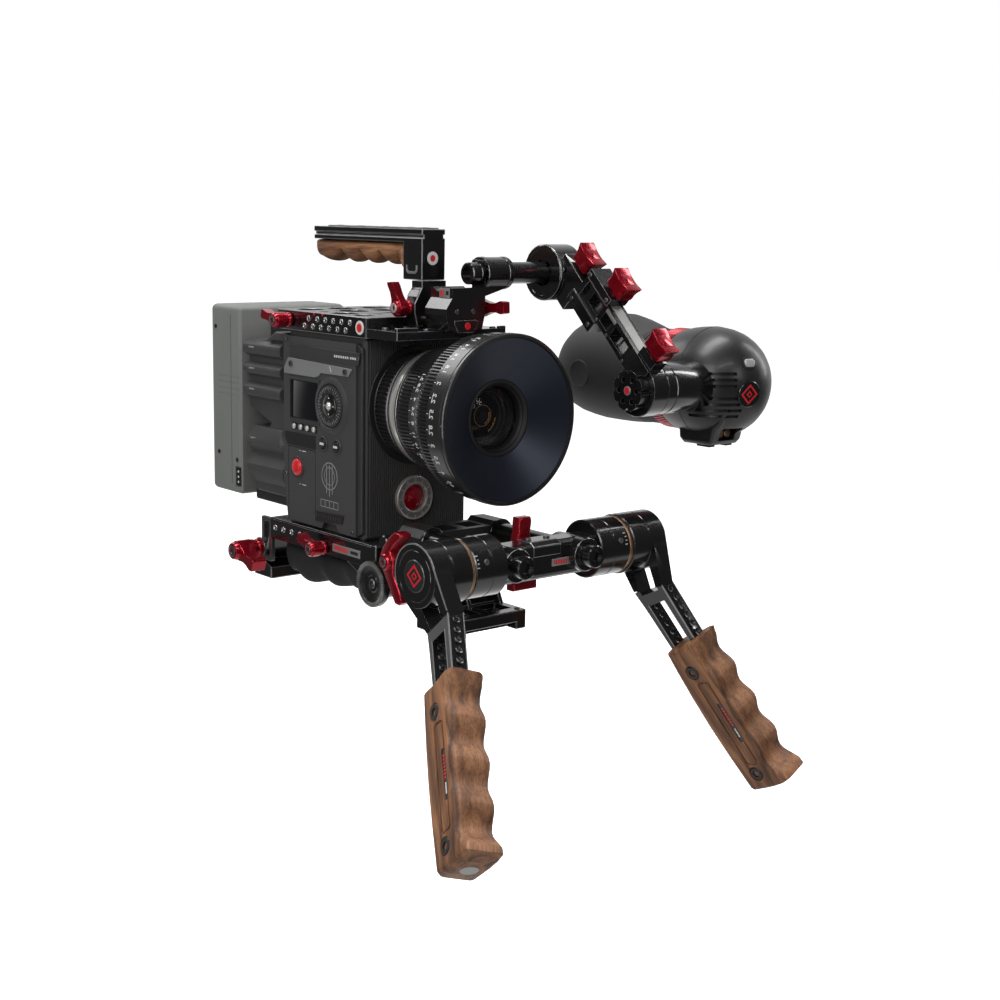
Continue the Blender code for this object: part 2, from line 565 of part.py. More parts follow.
def cross_bar():
    """The bar across the rods, with a rod clamp on each rod and a fixed drum at each end."""
    axis = (BAR_Y, BAR_Z)
    section = rounded((BAR_Y - 10.0, BAR_Y + 10.0), (-99.5, -75.0), 4.0, 3)
    item = solid("cross_bar", prism("X", section, -45.0, 45.0), BLACK, pivot=(0.0, *axis))
    for side, sign in SIDES.items():
        low, high = sorted((sign * 40.6, sign * 66.3))
        fixed = drum("X", axis, HUB_RADIUS - 1.0, low, high, 28)
        add(item, solid(f"{side}_fixed_drum", fixed, None, None, (0.0, *axis)))
        spindle = drum("X", axis, SPINDLE_RADIUS, *sorted((sign * 60.0, sign * 90.0)), 16)
        add(item, solid(f"{side}_spindle", spindle, None, None, (0.0, *axis)))
        sleeve = drum("Y", (sign * ROD_X, ROD_Z), 11.0, BAR_Y - 16.0, BAR_Y + 13.0, 24)
        add(item, solid(f"{side}_rod_sleeve", sleeve, None, None, (0.0, *axis)))
    for side, sign in SIDES.items():
        bore = drum("Y", (sign * ROD_X, ROD_Z), ROD_RADIUS + GAP, -80.0, 20.0, 24)
        cut(item, solid(f"{side}_rod_bore", bore, None, None, (0.0, *axis)))
    pivot = (0.0, -17.9, -87.0)
    wings = [(-5.0, -62.5), (6.0, -62.5), (6.5, -80.0), (6.5, -94.0), (9.0, -111.5), (-4.0, -111.5), (-6.5, -94.0),
             (-6.5, -80.0)]
    clamp = solid("cross_bar_lever", drum("Y", (0.0, -87.0), 6.5, -18.1, -5.0, 20), RED, pivot=pivot)
    add(clamp, solid("cross_bar_lever_wings", prism("Y", wings, -15.0, -7.0), None, None, pivot))


def tension_rings():
    for side, sign in SIDES.items():
        low, high = sorted((sign * 66.6, sign * 69.4))
        profile = ring("X", (BAR_Y, BAR_Z), SPINDLE_RADIUS + GAP, HUB_RADIUS - 0.6, low, high, 32)
        solid(f"tension_ring_{side}", profile, BRONZE, pivot=(0.0, BAR_Y, BAR_Z))


def grip_frame(side):
    """Local X runs down the splayed grip from the knee, local Y forward, local Z outward or inward."""
    sign = SIDES[side]
    swing = GRIP_SWING[side]
    down = Vector((0.0, -math.sin(swing), -math.cos(swing)))
    forward = Vector((0.0, -math.cos(swing), math.sin(swing)))
    along = down * math.cos(ARM_SPLAY) + Vector((sign, 0.0, 0.0)) * math.sin(ARM_SPLAY)
    knee = Vector((sign * 0.5 * sum(ARM_X), BAR_Y, BAR_Z)) + down * ARM_KNEE
    return frame_at(knee, along, forward)


def hub_frame(side):
    """Local X runs from the hub axis to the knee, local Y forward, local Z along world X."""
    swing = GRIP_SWING[side]
    sign = SIDES[side]
    down = (0.0, -math.sin(swing), -math.cos(swing))
    forward = (0.0, -math.cos(swing), math.sin(swing))
    return frame_at((sign * 0.5 * sum(ARM_X), BAR_Y, BAR_Z), down, forward)


def grip_arm(side):
    """The turning drum, the flat upper arm and the splayed lower arm with its two windows."""
    sign = SIDES[side]
    name = f"grip_arm_{side}"
    pivot = (0.0, BAR_Y, BAR_Z)
    low, high = sorted((sign * 69.7, sign * ARM_X[1]))
    item = solid(name, drum("X", (BAR_Y, BAR_Z), HUB_RADIUS, low, high, 32), BLACK, pivot=pivot)
    half = 0.5 * (ARM_X[1] - ARM_X[0])
    upper = [(0.0, 19.5), (0.0, -19.5), (10.0, -18.5), (ARM_KNEE, -13.0), (ARM_KNEE + 3.0, 14.0), (10.0, 19.0)]
    add(item, solid(f"{name}_upper", prism("Z", upper, -half, half), None, hub_frame(side), pivot))
    lower = [(-1.0, 14.0), (-1.0, -13.0), (12.0, -12.0), (150.0, -8.0), (150.0, 6.0), (90.0, 7.0), (56.0, 13.0)]
    half_low = half - 0.6
    add(item, solid(f"{name}_lower", prism("Z", lower, -half_low, half_low), None, grip_frame(side), pivot))
    windows = blocks(((11.0, 46.0), (-7.0, 8.0), (-20.0, 20.0)), ((-14.0, 2.5), (-8.0, 8.5), (-20.0, 20.0)))
    cut(item, solid(f"{name}_windows", windows, None, grip_frame(side), pivot))
    bore_x = sorted((sign * 60.0, sign * 90.5))
    bore = drum("X", (BAR_Y, BAR_Z), SPINDLE_RADIUS + GAP, *bore_x, 16)
    cut(item, solid(f"{name}_bore", bore, None, None, pivot))


def grip_outline():
    """Along the grip and forward: a straight back and a front with four finger hollows."""
    front = [(157.0, 24.0)]
    for hollow in (140.0, 113.0, 86.5, 60.0):
        front += [(hollow + 9.0, 16.6), (hollow, 14.6), (hollow - 9.0, 16.6), (hollow - 13.5, 19.2)]
    return [(46.0, -13.0), (105.0, -15.2), (159.0, -12.6), (160.5, 8.0)] + front + [(43.5, 20.0), (44.5, 12.0)]


def grip_wood(side):
    name = f"grip_wood_{side}"
    pivot = (0.0, BAR_Y, BAR_Z)
    matrix = grip_frame(side)
    item = solid(name, prism("Z", grip_outline(), -GRIP_HALF, GRIP_HALF), WOOD, matrix, pivot)
    slot = [(40.0, 15.5), (40.0, -12.0), (150.6, -8.4), (150.6, 6.4), (90.3, 7.4), (56.3, 13.4)]
    half = 0.5 * (ARM_X[1] - ARM_X[0]) - 0.6 + GAP
    cut(item, solid(f"{name}_slot", prism("Z", slot, -half, half), None, matrix, pivot))


def main():
    clear_scene()
    camera_body()
    side_panel()
    screen_glass()
    panel_controls()
    connector_housing()
    rear_module()
    battery_pack()
    front_badge()
    top_plate()
    front_shelf()
    lens()
    top_handle()
    finder_mount()
    finder_arm()
    finder()
    base_plate()
    rear_bracket()
    shoulder_pad()
    rosette()
    rod_bridge()
    rods()
    foot_plate()
    base_levers()
    rod_lever()
    cross_bar()
    tension_rings()
    for side in SIDES:
        grip_arm(side)
        grip_wood(side)


main()
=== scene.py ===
"""Looks for the cinema camera rig: detailed pieces, materials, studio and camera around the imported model.

Sizes are millimetres from the optical origin, the centre of the circle at the front of the lens: +Z is up and
the lens looks along -Y. TO_ROW turns them into metres in the model's own frame.
"""

import json
import math

import bmesh
import bpy
from mathutils import Matrix, Vector


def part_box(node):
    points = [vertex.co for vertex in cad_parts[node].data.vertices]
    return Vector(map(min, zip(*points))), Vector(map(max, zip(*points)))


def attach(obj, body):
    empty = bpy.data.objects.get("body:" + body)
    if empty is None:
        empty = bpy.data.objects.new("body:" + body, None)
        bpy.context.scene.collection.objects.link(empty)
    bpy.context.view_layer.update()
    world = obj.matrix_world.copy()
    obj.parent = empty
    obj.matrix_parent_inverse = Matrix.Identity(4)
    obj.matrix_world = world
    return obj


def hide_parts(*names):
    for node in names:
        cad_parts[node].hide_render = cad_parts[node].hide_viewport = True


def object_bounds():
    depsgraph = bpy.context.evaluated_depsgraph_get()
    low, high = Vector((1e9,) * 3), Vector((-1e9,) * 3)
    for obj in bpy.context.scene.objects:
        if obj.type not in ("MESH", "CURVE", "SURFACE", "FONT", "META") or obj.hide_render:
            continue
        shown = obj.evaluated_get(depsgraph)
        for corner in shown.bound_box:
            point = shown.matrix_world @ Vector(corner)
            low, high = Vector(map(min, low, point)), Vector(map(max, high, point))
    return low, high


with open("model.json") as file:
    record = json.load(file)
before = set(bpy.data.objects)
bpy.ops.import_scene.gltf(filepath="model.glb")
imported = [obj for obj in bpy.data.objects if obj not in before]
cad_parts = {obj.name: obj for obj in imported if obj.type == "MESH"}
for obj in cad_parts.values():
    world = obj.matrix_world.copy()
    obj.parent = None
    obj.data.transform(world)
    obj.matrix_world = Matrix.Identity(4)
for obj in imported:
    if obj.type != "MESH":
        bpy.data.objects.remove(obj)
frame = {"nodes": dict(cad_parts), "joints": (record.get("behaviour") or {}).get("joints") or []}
CAD_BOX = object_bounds()
NODES = frame["nodes"]

MM = 0.001
HOOD_LOW, HOOD_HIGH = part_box("lens_hood")
ORIGIN = Vector((0.5 * (HOOD_LOW.x + HOOD_HIGH.x), HOOD_LOW.y, 0.5 * (HOOD_LOW.z + HOOD_HIGH.z)))
TO_ROW = Matrix.Translation(ORIGIN) @ Matrix.Scale(MM, 4)
JOINTS = {joint["name"]: joint for joint in frame["joints"]}


def from_row(point):
    """A point of the model in millimetres from the optical origin."""
    return (Vector(point) - ORIGIN) / MM


def node_box(node):
    """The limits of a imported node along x, y and z, in millimetres from the optical origin."""
    low, high = (from_row(corner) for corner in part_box(node))
    return [(low[i], high[i]) for i in range(3)]


# ---------------------------------------------------------------- mesh tools

def block(x, y, z):
    """A box between the given limits."""
    bm = bmesh.new()
    bmesh.ops.create_cube(bm, size=1)
    for vert in bm.verts:
        vert.co = [limits[0] if part < 0 else limits[1] for part, limits in zip(vert.co, (x, y, z))]
    return bm


def on_axis(axis, u, v, along):
    """The point with u and v across an axis and along it: X keeps (y, z), Y keeps (x, z), Z keeps (x, y)."""
    return {"X": (along, u, v), "Y": (u, along, v), "Z": (u, v, along)}[axis]


def prism(axis, outline, low, high):
    """An outline pushed straight along an axis."""
    bm = bmesh.new()
    ends = [[bm.verts.new(on_axis(axis, u, v, level)) for u, v in outline] for level in (low, high)]
    bm.faces.new(ends[0])
    bm.faces.new(ends[1])
    for index in range(len(outline)):
        after = (index + 1) % len(outline)
        bm.faces.new((ends[0][index], ends[0][after], ends[1][after], ends[1][index]))
    bmesh.ops.recalc_face_normals(bm, faces=bm.faces)
    return bm


def turned(axis, centre, profile, segments=64, wave=None):
    """A closed (radius, along) profile turned about an axis; wave(angle, radius) may change the radius."""
    bm = bmesh.new()
    rings = []
    for radius, along in profile:
        if radius == 0:
            rings.append([bm.verts.new(on_axis(axis, *centre, along))] * segments)
            continue
        ring = []
        for step in range(segments):
            angle = math.tau * step / segments
            reach = wave(step, radius) if wave else radius
            point = on_axis(axis, centre[0] + reach * math.cos(angle), centre[1] + reach * math.sin(angle), along)
            ring.append(bm.verts.new(point))
        rings.append(ring)
    for index, ring in enumerate(rings):
        following = rings[(index + 1) % len(rings)]
        for step in range(segments):
            after = (step + 1) % segments
            corners = dict.fromkeys((ring[step], ring[after], following[after], following[step]))
            if len(corners) > 2:
                bm.faces.new(list(corners))
    bmesh.ops.recalc_face_normals(bm, faces=bm.faces)
    return bm


def circle(centre, radius, segments=32, start=0, sweep=math.tau):
    """Points round a circle, or along an arc of it with both of its ends."""
    steps = segments if abs(sweep) >= math.tau else segments + 1
    angles = [start + sweep * step / segments for step in range(steps)]
    return [(centre[0] + radius * math.cos(a), centre[1] + radius * math.sin(a)) for a in angles]


def rounded(u, v, radius, segments=6):
    """A rectangle with round corners."""
    corners = ((u[1] - radius, v[1] - radius, 0), (u[0] + radius, v[1] - radius, 0.5 * math.pi),
               (u[0] + radius, v[0] + radius, math.pi), (u[1] - radius, v[0] + radius, 1.5 * math.pi))
    points = []
    for cu, cv, start in corners:
        points += circle((cu, cv), radius, segments, start, 0.5 * math.pi)
    return points


def drum(axis, centre, radius, low, high, edge=0.6, segments=64):
    """A cylinder with small chamfers."""
    profile = [(0, low), (radius - edge, low), (radius, low + edge), (radius, high - edge), (radius - edge, high),
               (0, high)]
    return turned(axis, centre, profile, segments)


def hoop(axis, centre, inner, outer, low, high, edge=0.3, segments=64):
    """A ring with chamfered outer edges."""
    profile = [(inner, low), (outer - edge, low), (outer, low + edge), (outer, high - edge), (outer - edge, high),
               (inner, high)]
    return turned(axis, centre, profile, segments)


def toothed(axis, centre, inner, outer, low, high, teeth, depth, edge=0.5):
    """A ring with straight teeth or ribs round its outside."""
    def wave(step, radius):
        return radius - depth if radius > inner + depth and step % 4 > 1 else radius
    profile = [(inner, low), (outer - edge, low), (outer, low + edge), (outer, high - edge), (outer - edge, high),
               (inner, high)]
    return turned(axis, centre, profile, 4 * teeth, wave)


def frame_at(origin, x_axis, y_axis):
    """A matrix with the given origin, X axis and Y axis; Z is their cross product."""
    x_axis = Vector(x_axis).normalized()
    y_axis = Vector(y_axis).normalized()
    turn = Matrix((x_axis, y_axis, x_axis.cross(y_axis))).transposed().to_4x4()
    return Matrix.Translation(Vector(origin)) @ turn


def facing(origin, normal):
    """A matrix whose Z axis is the normal."""
    turn = Vector(normal).to_track_quat("Z", "Y").to_matrix().to_4x4()
    return Matrix.Translation(Vector(origin)) @ turn


def moved(bm, matrix):
    """The shape after a transform, with its faces still looking outwards."""
    bm.transform(matrix)
    if matrix.determinant() < 0:
        bmesh.ops.reverse_faces(bm, faces=bm.faces)
    return bm


def merge(*parts):
    """Several shapes in one mesh."""
    whole = bmesh.new()
    for part in parts:
        mesh = bpy.data.meshes.new("part")
        part.to_mesh(mesh)
        part.free()
        whole.from_mesh(mesh)
        bpy.data.meshes.remove(mesh)
    return whole


def loose(bm):
    """A shape as an object of its own in the scene."""
    mesh = bpy.data.meshes.new("tool")
    bm.to_mesh(mesh)
    bm.free()
    item = bpy.data.objects.new("tool", mesh)
    bpy.context.scene.collection.objects.link(item)
    return item


def cut(base, *tools):
    """What is left of a shape when its tools are cut away, as a new shape."""
    item = loose(base)
    others = [loose(tool) for tool in tools]
    for other in others:
        modifier = item.modifiers.new("step", "BOOLEAN")
        modifier.operation = "DIFFERENCE"
        modifier.solver = "EXACT"
        modifier.object = other
    graph = bpy.context.evaluated_depsgraph_get()
    result = bmesh.new()
    result.from_mesh(item.evaluated_get(graph).to_mesh())
    for thing in [item] + others:
        mesh = thing.data
        bpy.data.objects.remove(thing)
        bpy.data.meshes.remove(mesh)
    return result


def piece(name, bm, finish, body="camera", replaces=(), bevel=0, place=None, smooth=35, grain=None):
    """Makes a shape in millimetres into a piece with its finish that rides on a body."""
    if place is not None:
        moved(bm, place)
    local = None
    if grain is not None:
        into = grain.inverted()
        local = [component for vert in bm.verts for component in (into @ vert.co) * MM]
    bm.transform(TO_ROW)
    mesh = bpy.data.meshes.new(name)
    bm.to_mesh(mesh)
    bm.free()
    if local is not None:
        mesh.attributes.new("grain", "FLOAT_VECTOR", "POINT").data.foreach_set("vector", local)
    mesh.materials.append(finish)
    mesh.shade_smooth()
    item = bpy.data.objects.new(name, mesh)
    bpy.context.scene.collection.objects.link(item)
    if bevel:
        soften(item, bevel, finish)
    else:
        mesh.set_sharp_from_angle(angle=math.radians(smooth))
    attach(item, body)
    if replaces:
        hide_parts(*replaces)
    return item


def soften(item, width, finish):
    """A bevel that rounds every edge sharper than 32 degrees; on the black finish its new faces get a bright metal
    that paints a highlight along the edge.
    """
    modifier = item.modifiers.new("edges", "BEVEL")
    modifier.width = width * MM
    modifier.segments = 2
    modifier.limit_method = "ANGLE"
    modifier.angle_limit = math.radians(32)
    modifier.harden_normals = True
    if finish is BLACK:
        item.data.materials.append(EDGE_PAINTED_HIGHLIGHT)
        modifier.material = len(item.data.materials) - 1


def dress(node_name, finish, width):
    """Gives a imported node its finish, with its edges softened."""
    item = NODES[node_name]
    item.data.materials.clear()
    item.data.materials.append(finish)
    weld = item.modifiers.new("weld", "WELD")
    weld.merge_threshold = 0.00001
    soften(item, width, finish)


# ---------------------------------------------------------------- materials

def feed(tree, socket, value):
    """Links a socket to another one, or sets its value."""
    if isinstance(value, bpy.types.NodeSocket):
        tree.links.new(value, socket)
    else:
        socket.default_value = value


def node(tree, kind, **inputs):
    """A shader node with some of its inputs fed; an underscore in a name stands for a space."""
    made = tree.nodes.new(kind)
    for key, value in inputs.items():
        feed(tree, made.inputs[key.replace("_", " ")], value)
    return made


def mixed(tree, factor, first, second, blend_type="MIX"):
    """A mix of two colours, each a constant or a socket."""
    mix = tree.nodes.new("ShaderNodeMix")
    mix.data_type = "RGBA"
    mix.blend_type = blend_type
    for key, value in (("Factor", factor), ("A", first), ("B", second)):
        feed(tree, mix.inputs[key], value)
    return mix.outputs["Result"]


def ranged(tree, value, *limits, smooth=False):
    """A value taken from one range to another: from min, from max, to min, to max, or only the last two."""
    names = ("From_Min", "From_Max", "To_Min", "To_Max")[-len(limits):]
    made = node(tree, "ShaderNodeMapRange", Value=value, **dict(zip(names, limits)))
    if smooth:
        made.interpolation_type = "SMOOTHSTEP"
    return made.outputs["Result"]


def new_material(name):
    """A material with nodes, its node tree and its shader."""
    material = bpy.data.materials.new(name)
    material.use_nodes = True
    return material, material.node_tree, material.node_tree.nodes["Principled BSDF"]


def shade(colour, factor):
    """A colour made lighter or darker, with full alpha."""
    return tuple(min(1, part * factor) for part in colour) + (1,)


def finished(material, tree, shader, colour, roughness, height, strength, distance):
    """Feeds a shader its colour, its roughness and the bump of a height."""
    relief = node(tree, "ShaderNodeBump", Height=height, Strength=strength, Distance=distance)
    for key, value in (("Base Color", colour), ("Roughness", roughness), ("Normal", relief.outputs["Normal"])):
        tree.links.new(value, shader.inputs[key])
    return material


def surface(name, colour, roughness, metallic=0, mottle=0.2, patch=45, grit=1600, bump=0.12, coat=0, scratch=0,
            spread=0.07):
    """Fine-grained paint, metal or plastic: colour patches, uneven roughness, a fine bump and light scratches."""
    material, tree, shader = new_material(name)
    shader.inputs["Metallic"].default_value = metallic
    shader.inputs["Coat Weight"].default_value = coat
    shader.inputs["Coat Roughness"].default_value = 0.09
    where = tree.nodes.new("ShaderNodeTexCoord").outputs["Object"]
    broad = node(tree, "ShaderNodeTexNoise", Vector=where, Scale=patch, Detail=4).outputs["Fac"]
    fine = node(tree, "ShaderNodeTexNoise", Vector=where, Scale=grit, Detail=3).outputs["Fac"]
    tone = mixed(tree, broad, shade(colour, 1 - mottle), shade(colour, 1 + mottle))
    if scratch:
        tone = scratched(tree, where, tone, colour, scratch)
    uneven = ranged(tree, fine, max(0.02, roughness - spread), min(1, roughness + spread))
    return finished(material, tree, shader, tone, uneven, fine, bump, 0.0002)


def scratched(tree, where, colour_in, colour, amount):
    """Hairline rub marks, a little lighter than the surface."""
    stretch = node(tree, "ShaderNodeMapping", Vector=where, Scale=(900, 900, 40)).outputs["Vector"]
    lines = node(tree, "ShaderNodeTexNoise", Vector=stretch, Scale=1, Detail=2).outputs["Fac"]
    thin = ranged(tree, lines, 0.66, 0.8, 0, amount)
    return mixed(tree, thin, colour_in, shade(tuple(part + 0.08 for part in colour), 1))


def walnut(name):
    """Long brown figure with dark streaks and pores, along the grain attribute's X axis."""
    material, tree, shader = new_material(name)
    grain = tree.nodes.new("ShaderNodeAttribute")
    grain.attribute_name = "grain"
    where = grain.outputs["Vector"]
    along = node(tree, "ShaderNodeMapping", Vector=where, Scale=(9, 75, 75)).outputs["Vector"]
    figure = node(tree, "ShaderNodeTexNoise", Vector=along, Scale=1.6, Detail=6, Distortion=0.9).outputs["Fac"]
    tone = node(tree, "ShaderNodeValToRGB", Fac=figure)
    ramp = tone.color_ramp
    ramp.elements[0].position = 0.30
    ramp.elements[0].color = (0.075, 0.030, 0.013, 1)
    ramp.elements[1].position = 0.72
    ramp.elements[1].color = (0.43, 0.200, 0.090, 1)
    ramp.elements.new(0.5).color = (0.27, 0.118, 0.052, 1)
    fibre = node(tree, "ShaderNodeMapping", Vector=where, Scale=(60, 1400, 1400)).outputs["Vector"]
    pores = node(tree, "ShaderNodeTexNoise", Vector=fibre, Scale=1, Detail=2).outputs["Fac"]
    dark = ranged(tree, pores, 0.35, 0.55, 0.62, 1)
    stain = mixed(tree, 1, tone.outputs["Color"], dark, "MULTIPLY")
    return finished(material, tree, shader, stain, ranged(tree, pores, 0.66, 0.50), pores, 0.25, 0.0003)


BLACK = surface("black_anodised", (0.0055, 0.0055, 0.006), 0.22, bump=0.004, coat=0.6, spread=0.012)
# bright metal for the bevels of black parts: a painted highlight along their edges
EDGE_PAINTED_HIGHLIGHT = surface("edge_painted_highlight", (0.30, 0.30, 0.305), 0.30, 0.9, mottle=0.35, bump=0.02, spread=0.05)
BLACK_DULL = surface("dull_black_anodised", (0.011, 0.011, 0.012), 0.40, bump=0.03, spread=0.03)
LENS_BLACK = surface("lens_ring_black", (0.014, 0.014, 0.015), 0.33, bump=0.02, coat=0.3, spread=0.02)
SATIN = surface("satin_black_plastic", (0.016, 0.016, 0.017), 0.42, bump=0.25, patch=30)
RIBBED = surface("ribbed_black_paint", (0.044, 0.042, 0.042), 0.42, mottle=0.08, bump=0.03, spread=0.03)
GREY = surface("grey_shell_paint", (0.044, 0.043, 0.044), 0.55, mottle=0.07, bump=0.28, grit=2200)
GREY_LIGHT = surface("light_grey_strip", (0.185, 0.187, 0.190), 0.5, mottle=0.06, bump=0.25, grit=2200)
GREY_DARK = surface("dark_grey_shell", (0.030, 0.030, 0.032), 0.5, mottle=0.08, bump=0.25, grit=2200)
PACK = surface("battery_plastic", (0.176, 0.183, 0.175), 0.58, mottle=0.05, bump=0.30, grit=1900)
PACK_DARK = surface("battery_band_plastic", (0.115, 0.127, 0.122), 0.6, mottle=0.05, bump=0.30, grit=1900)
RED = surface("red_anodised", (0.38, 0.003, 0.016), 0.24, 0.75, mottle=0.15, bump=0.015, coat=0.5, spread=0.03)
RED_PAINT = surface("red_paint", (0.62, 0.012, 0.02), 0.35, mottle=0.08, bump=0.08, coat=0.3)
BADGE = surface("warm_grey_metal", (0.36, 0.34, 0.32), 0.42, 0.55, mottle=0.1, bump=0.05)
SILVER = surface("bright_metal", (0.72, 0.71, 0.68), 0.34, 0.85, mottle=0.08, bump=0.05, scratch=0.1)
STEEL = surface("dark_steel", (0.17, 0.17, 0.175), 0.32, 0.9, bump=0.08)
STEEL_BLACK = surface("blackened_steel", (0.05, 0.05, 0.052), 0.28, 0.85, bump=0.05, coat=0.2)
BRONZE = surface("bronze_ring", (0.42, 0.27, 0.17), 0.34, 0.95, mottle=0.15, bump=0.1)
RUBBER = surface("moulded_rubber", (0.021, 0.020, 0.021), 0.62, mottle=0.15, bump=0.35, grit=1100)
RUBBER_PAD = surface("pad_rubber", (0.011, 0.011, 0.012), 0.8, mottle=0.2, bump=0.6, grit=700)
WHITE = surface("white_print", (0.62, 0.62, 0.60), 0.5, mottle=0.05, bump=0.04)
PRINT = surface("grey_print", (0.27, 0.27, 0.27), 0.5, mottle=0.05, bump=0.04)
BLUE = surface("blue_print", (0.035, 0.05, 0.30), 0.4, mottle=0.08, bump=0.04)
FUNNEL = surface("blued_hood_black", (0.008, 0.009, 0.016), 0.34, mottle=0.15, bump=0.02, spread=0.03)
FUNNEL.node_tree.nodes["Principled BSDF"].inputs["Specular Tint"].default_value = (0.72, 0.78, 1, 1)
BULB_PAINT = surface("satin_finder_paint", (0.009, 0.009, 0.010), 0.38, mottle=0.1, bump=0.12, grit=1500,
                     coat=0.08, spread=0.03)
SCREEN = surface("dark_screen_glass", (0.002, 0.002, 0.004), 0.12, mottle=0.1, bump=0, coat=1)
JEWEL = surface("red_jewel", (0.30, 0.002, 0.012), 0.10, 0.3, mottle=0.5, patch=300, grit=500, bump=0.4,
                coat=1)
LED = surface("clear_led_window", (0.35, 0.36, 0.37), 0.15, mottle=0.1, bump=0.05, coat=1)
AMBER = surface("amber_coated_element", (0.004, 0.002, 0.002), 0.10, mottle=0.5, patch=90, bump=0.001,
                spread=0.005)
TUNNEL = surface("flat_lens_black", (0.0025, 0.0022, 0.0022), 0.62, mottle=0.3, bump=0.02, spread=0.03)
# amber for the inner element's edge ring and for arcs that are painted reflections
AMBER_EDGE_AND_REFLECTION = surface("amber_edge_and_painted_reflection", (0.62, 0.33, 0.12), 0.3, 0.2, mottle=0.4, patch=60, bump=0.05)
LENS_GLASS = surface("front_element_glass", (0.012, 0.010, 0.014), 0.05, mottle=0.04, patch=120, grit=300,
                     bump=0.002, coat=1, spread=0.006)
LENS_GLASS.node_tree.nodes["Principled BSDF"].inputs["Alpha"].default_value = 0.2
# pale metal for plain labels and rims, and for thin strips that are painted edge highlights
PALE_METAL_AND_HIGHLIGHT = surface("pale_metal_and_painted_highlight", (0.34, 0.34, 0.335), 0.35, 0.6, bump=0.05)
# light grey with rub marks: the scratches are wear, the light grey is a painted sheen
RAIL_TOP_WEAR_AND_SHEEN = surface("rail_top_scratches_and_painted_sheen", (0.21, 0.21, 0.21), 0.42, 0.3, mottle=0.08, bump=0.05, scratch=0.2)
# lighter grey with rub marks for faces looking up: the scratches are wear, the lighter grey is a painted sheen
PLATE_TOP_WEAR_AND_SHEEN = surface("plate_top_rubbing_and_painted_sheen", (0.13, 0.13, 0.128), 0.36, 0.4, mottle=0.08, bump=0.05, scratch=0.2)
BOWL = surface("polished_bowl", (0.42, 0.42, 0.43), 0.22, 1, mottle=0.1, bump=0.02, spread=0.03)
BAND = surface("brushed_band", (0.88, 0.86, 0.82), 0.30, 0.8, mottle=0.06, patch=15, bump=0.006, spread=0.02)
WOOD = walnut("walnut_wood")


# ---------------------------------------------------------------- studio

AIM = Vector((0, 0.05, 0.12))
ROOM_LIGHT = 0.07
ROOM_SEEN = 1
TABLE_LIGHT = 0.6
BACKDROP_SIDE = Vector((0.62, 0.76, 0.08))
BACKDROP_LIGHT = 0.75
LIGHTS = (
    ("key", (-1.4, -0.75, 1.05), (0.8, 0.9), 11.5),
    ("overhead", (0, 0.1, 1.5), (1.4, 0.35), 18),
    ("right_rim", (1.5, -0.3, 0.8), (0.2, 1.2), 7),
    ("left_strip", (-1.5, 0.35, 0.3), (0.2, 1.2), 3),
    ("front_left", (-1.35, -1.1, 0.2), (0.14, 1.3), 4),
    ("front_strip", (-0.35, -1.25, 1.25), (1.1, 0.1), 4),
    ("front_right", (0.35, -1.75, 0.75), (0.5, 0.6), 3.2),
    ("high_back", (-0.3, 1.3, 1.3), (1.2, 0.4), 7),
)


def studio():
    """A plain pale floor under the rig, soft lights and a white room."""
    floor_mesh = bpy.data.meshes.new("floor")
    reach = 14
    height = CAD_BOX[0].z - 0.12
    corners = [(-reach, -reach, height), (reach, -reach, height), (reach, reach, height), (-reach, reach, height)]
    floor_mesh.from_pydata(corners, [], [(0, 1, 2, 3)])
    floor = bpy.data.objects.new("floor", floor_mesh)
    bpy.context.scene.collection.objects.link(floor)
    pale = surface("pale_floor", (0.93, 0.93, 0.93), 0.9, mottle=0.01, patch=1, bump=0)
    glow = pale.node_tree.nodes["Principled BSDF"]
    glow.inputs["Emission Color"].default_value = (1, 1, 1, 1)
    glow.inputs["Emission Strength"].default_value = 0.9
    floor_mesh.materials.append(pale)
    floor.visible_diffuse = False
    floor.visible_glossy = False
    world = bpy.data.worlds.new("white_room")
    world.use_nodes = True
    tree = world.node_tree
    background = tree.nodes["Background"]
    heading = tree.nodes.new("ShaderNodeVectorMath")
    heading.operation = "DOT_PRODUCT"
    tree.links.new(tree.nodes.new("ShaderNodeTexCoord").outputs["Generated"], heading.inputs[0])
    heading.inputs[1].default_value = BACKDROP_SIDE.normalized()
    wall = ranged(tree, heading.outputs["Value"], 0.25, 0.9, ROOM_LIGHT, BACKDROP_LIGHT, smooth=True)
    ahead = tree.nodes.new("ShaderNodeSeparateXYZ")
    tree.links.new(heading.inputs[0].links[0].from_socket, ahead.inputs["Vector"])
    table = ranged(tree, ahead.outputs["Z"], -0.42, -0.52, 0, TABLE_LIGHT, smooth=True)
    room = node(tree, "ShaderNodeMath", Value=wall)
    tree.links.new(table, room.inputs[1])
    path = tree.nodes.new("ShaderNodeLightPath")
    level = tree.nodes.new("ShaderNodeMix")
    tree.links.new(path.outputs["Is Camera Ray"], level.inputs["Factor"])
    tree.links.new(room.outputs["Value"], level.inputs["A"])
    level.inputs["B"].default_value = ROOM_SEEN
    tree.links.new(level.outputs["Result"], background.inputs["Strength"])
    background.inputs["Color"].default_value = (1, 1, 1, 1)
    bpy.context.scene.world = world
    for name, place, size, power in LIGHTS:
        data = bpy.data.lights.new(name, "AREA")
        data.shape = "RECTANGLE"
        data.size, data.size_y = size
        data.energy = power
        lamp = bpy.data.objects.new(name, data)
        lamp.location = place
        lamp.rotation_euler = (AIM - Vector(place)).to_track_quat("-Z", "Y").to_euler()
        bpy.context.scene.collection.objects.link(lamp)
    bpy.context.scene.view_settings.view_transform = "Standard"


CAMERA_PLACE = Vector((-0.67775, -0.8332, 0.281732))
YAW, PITCH, ROLL = (math.radians(angle) for angle in (-40.312, 10.181, 1.062))


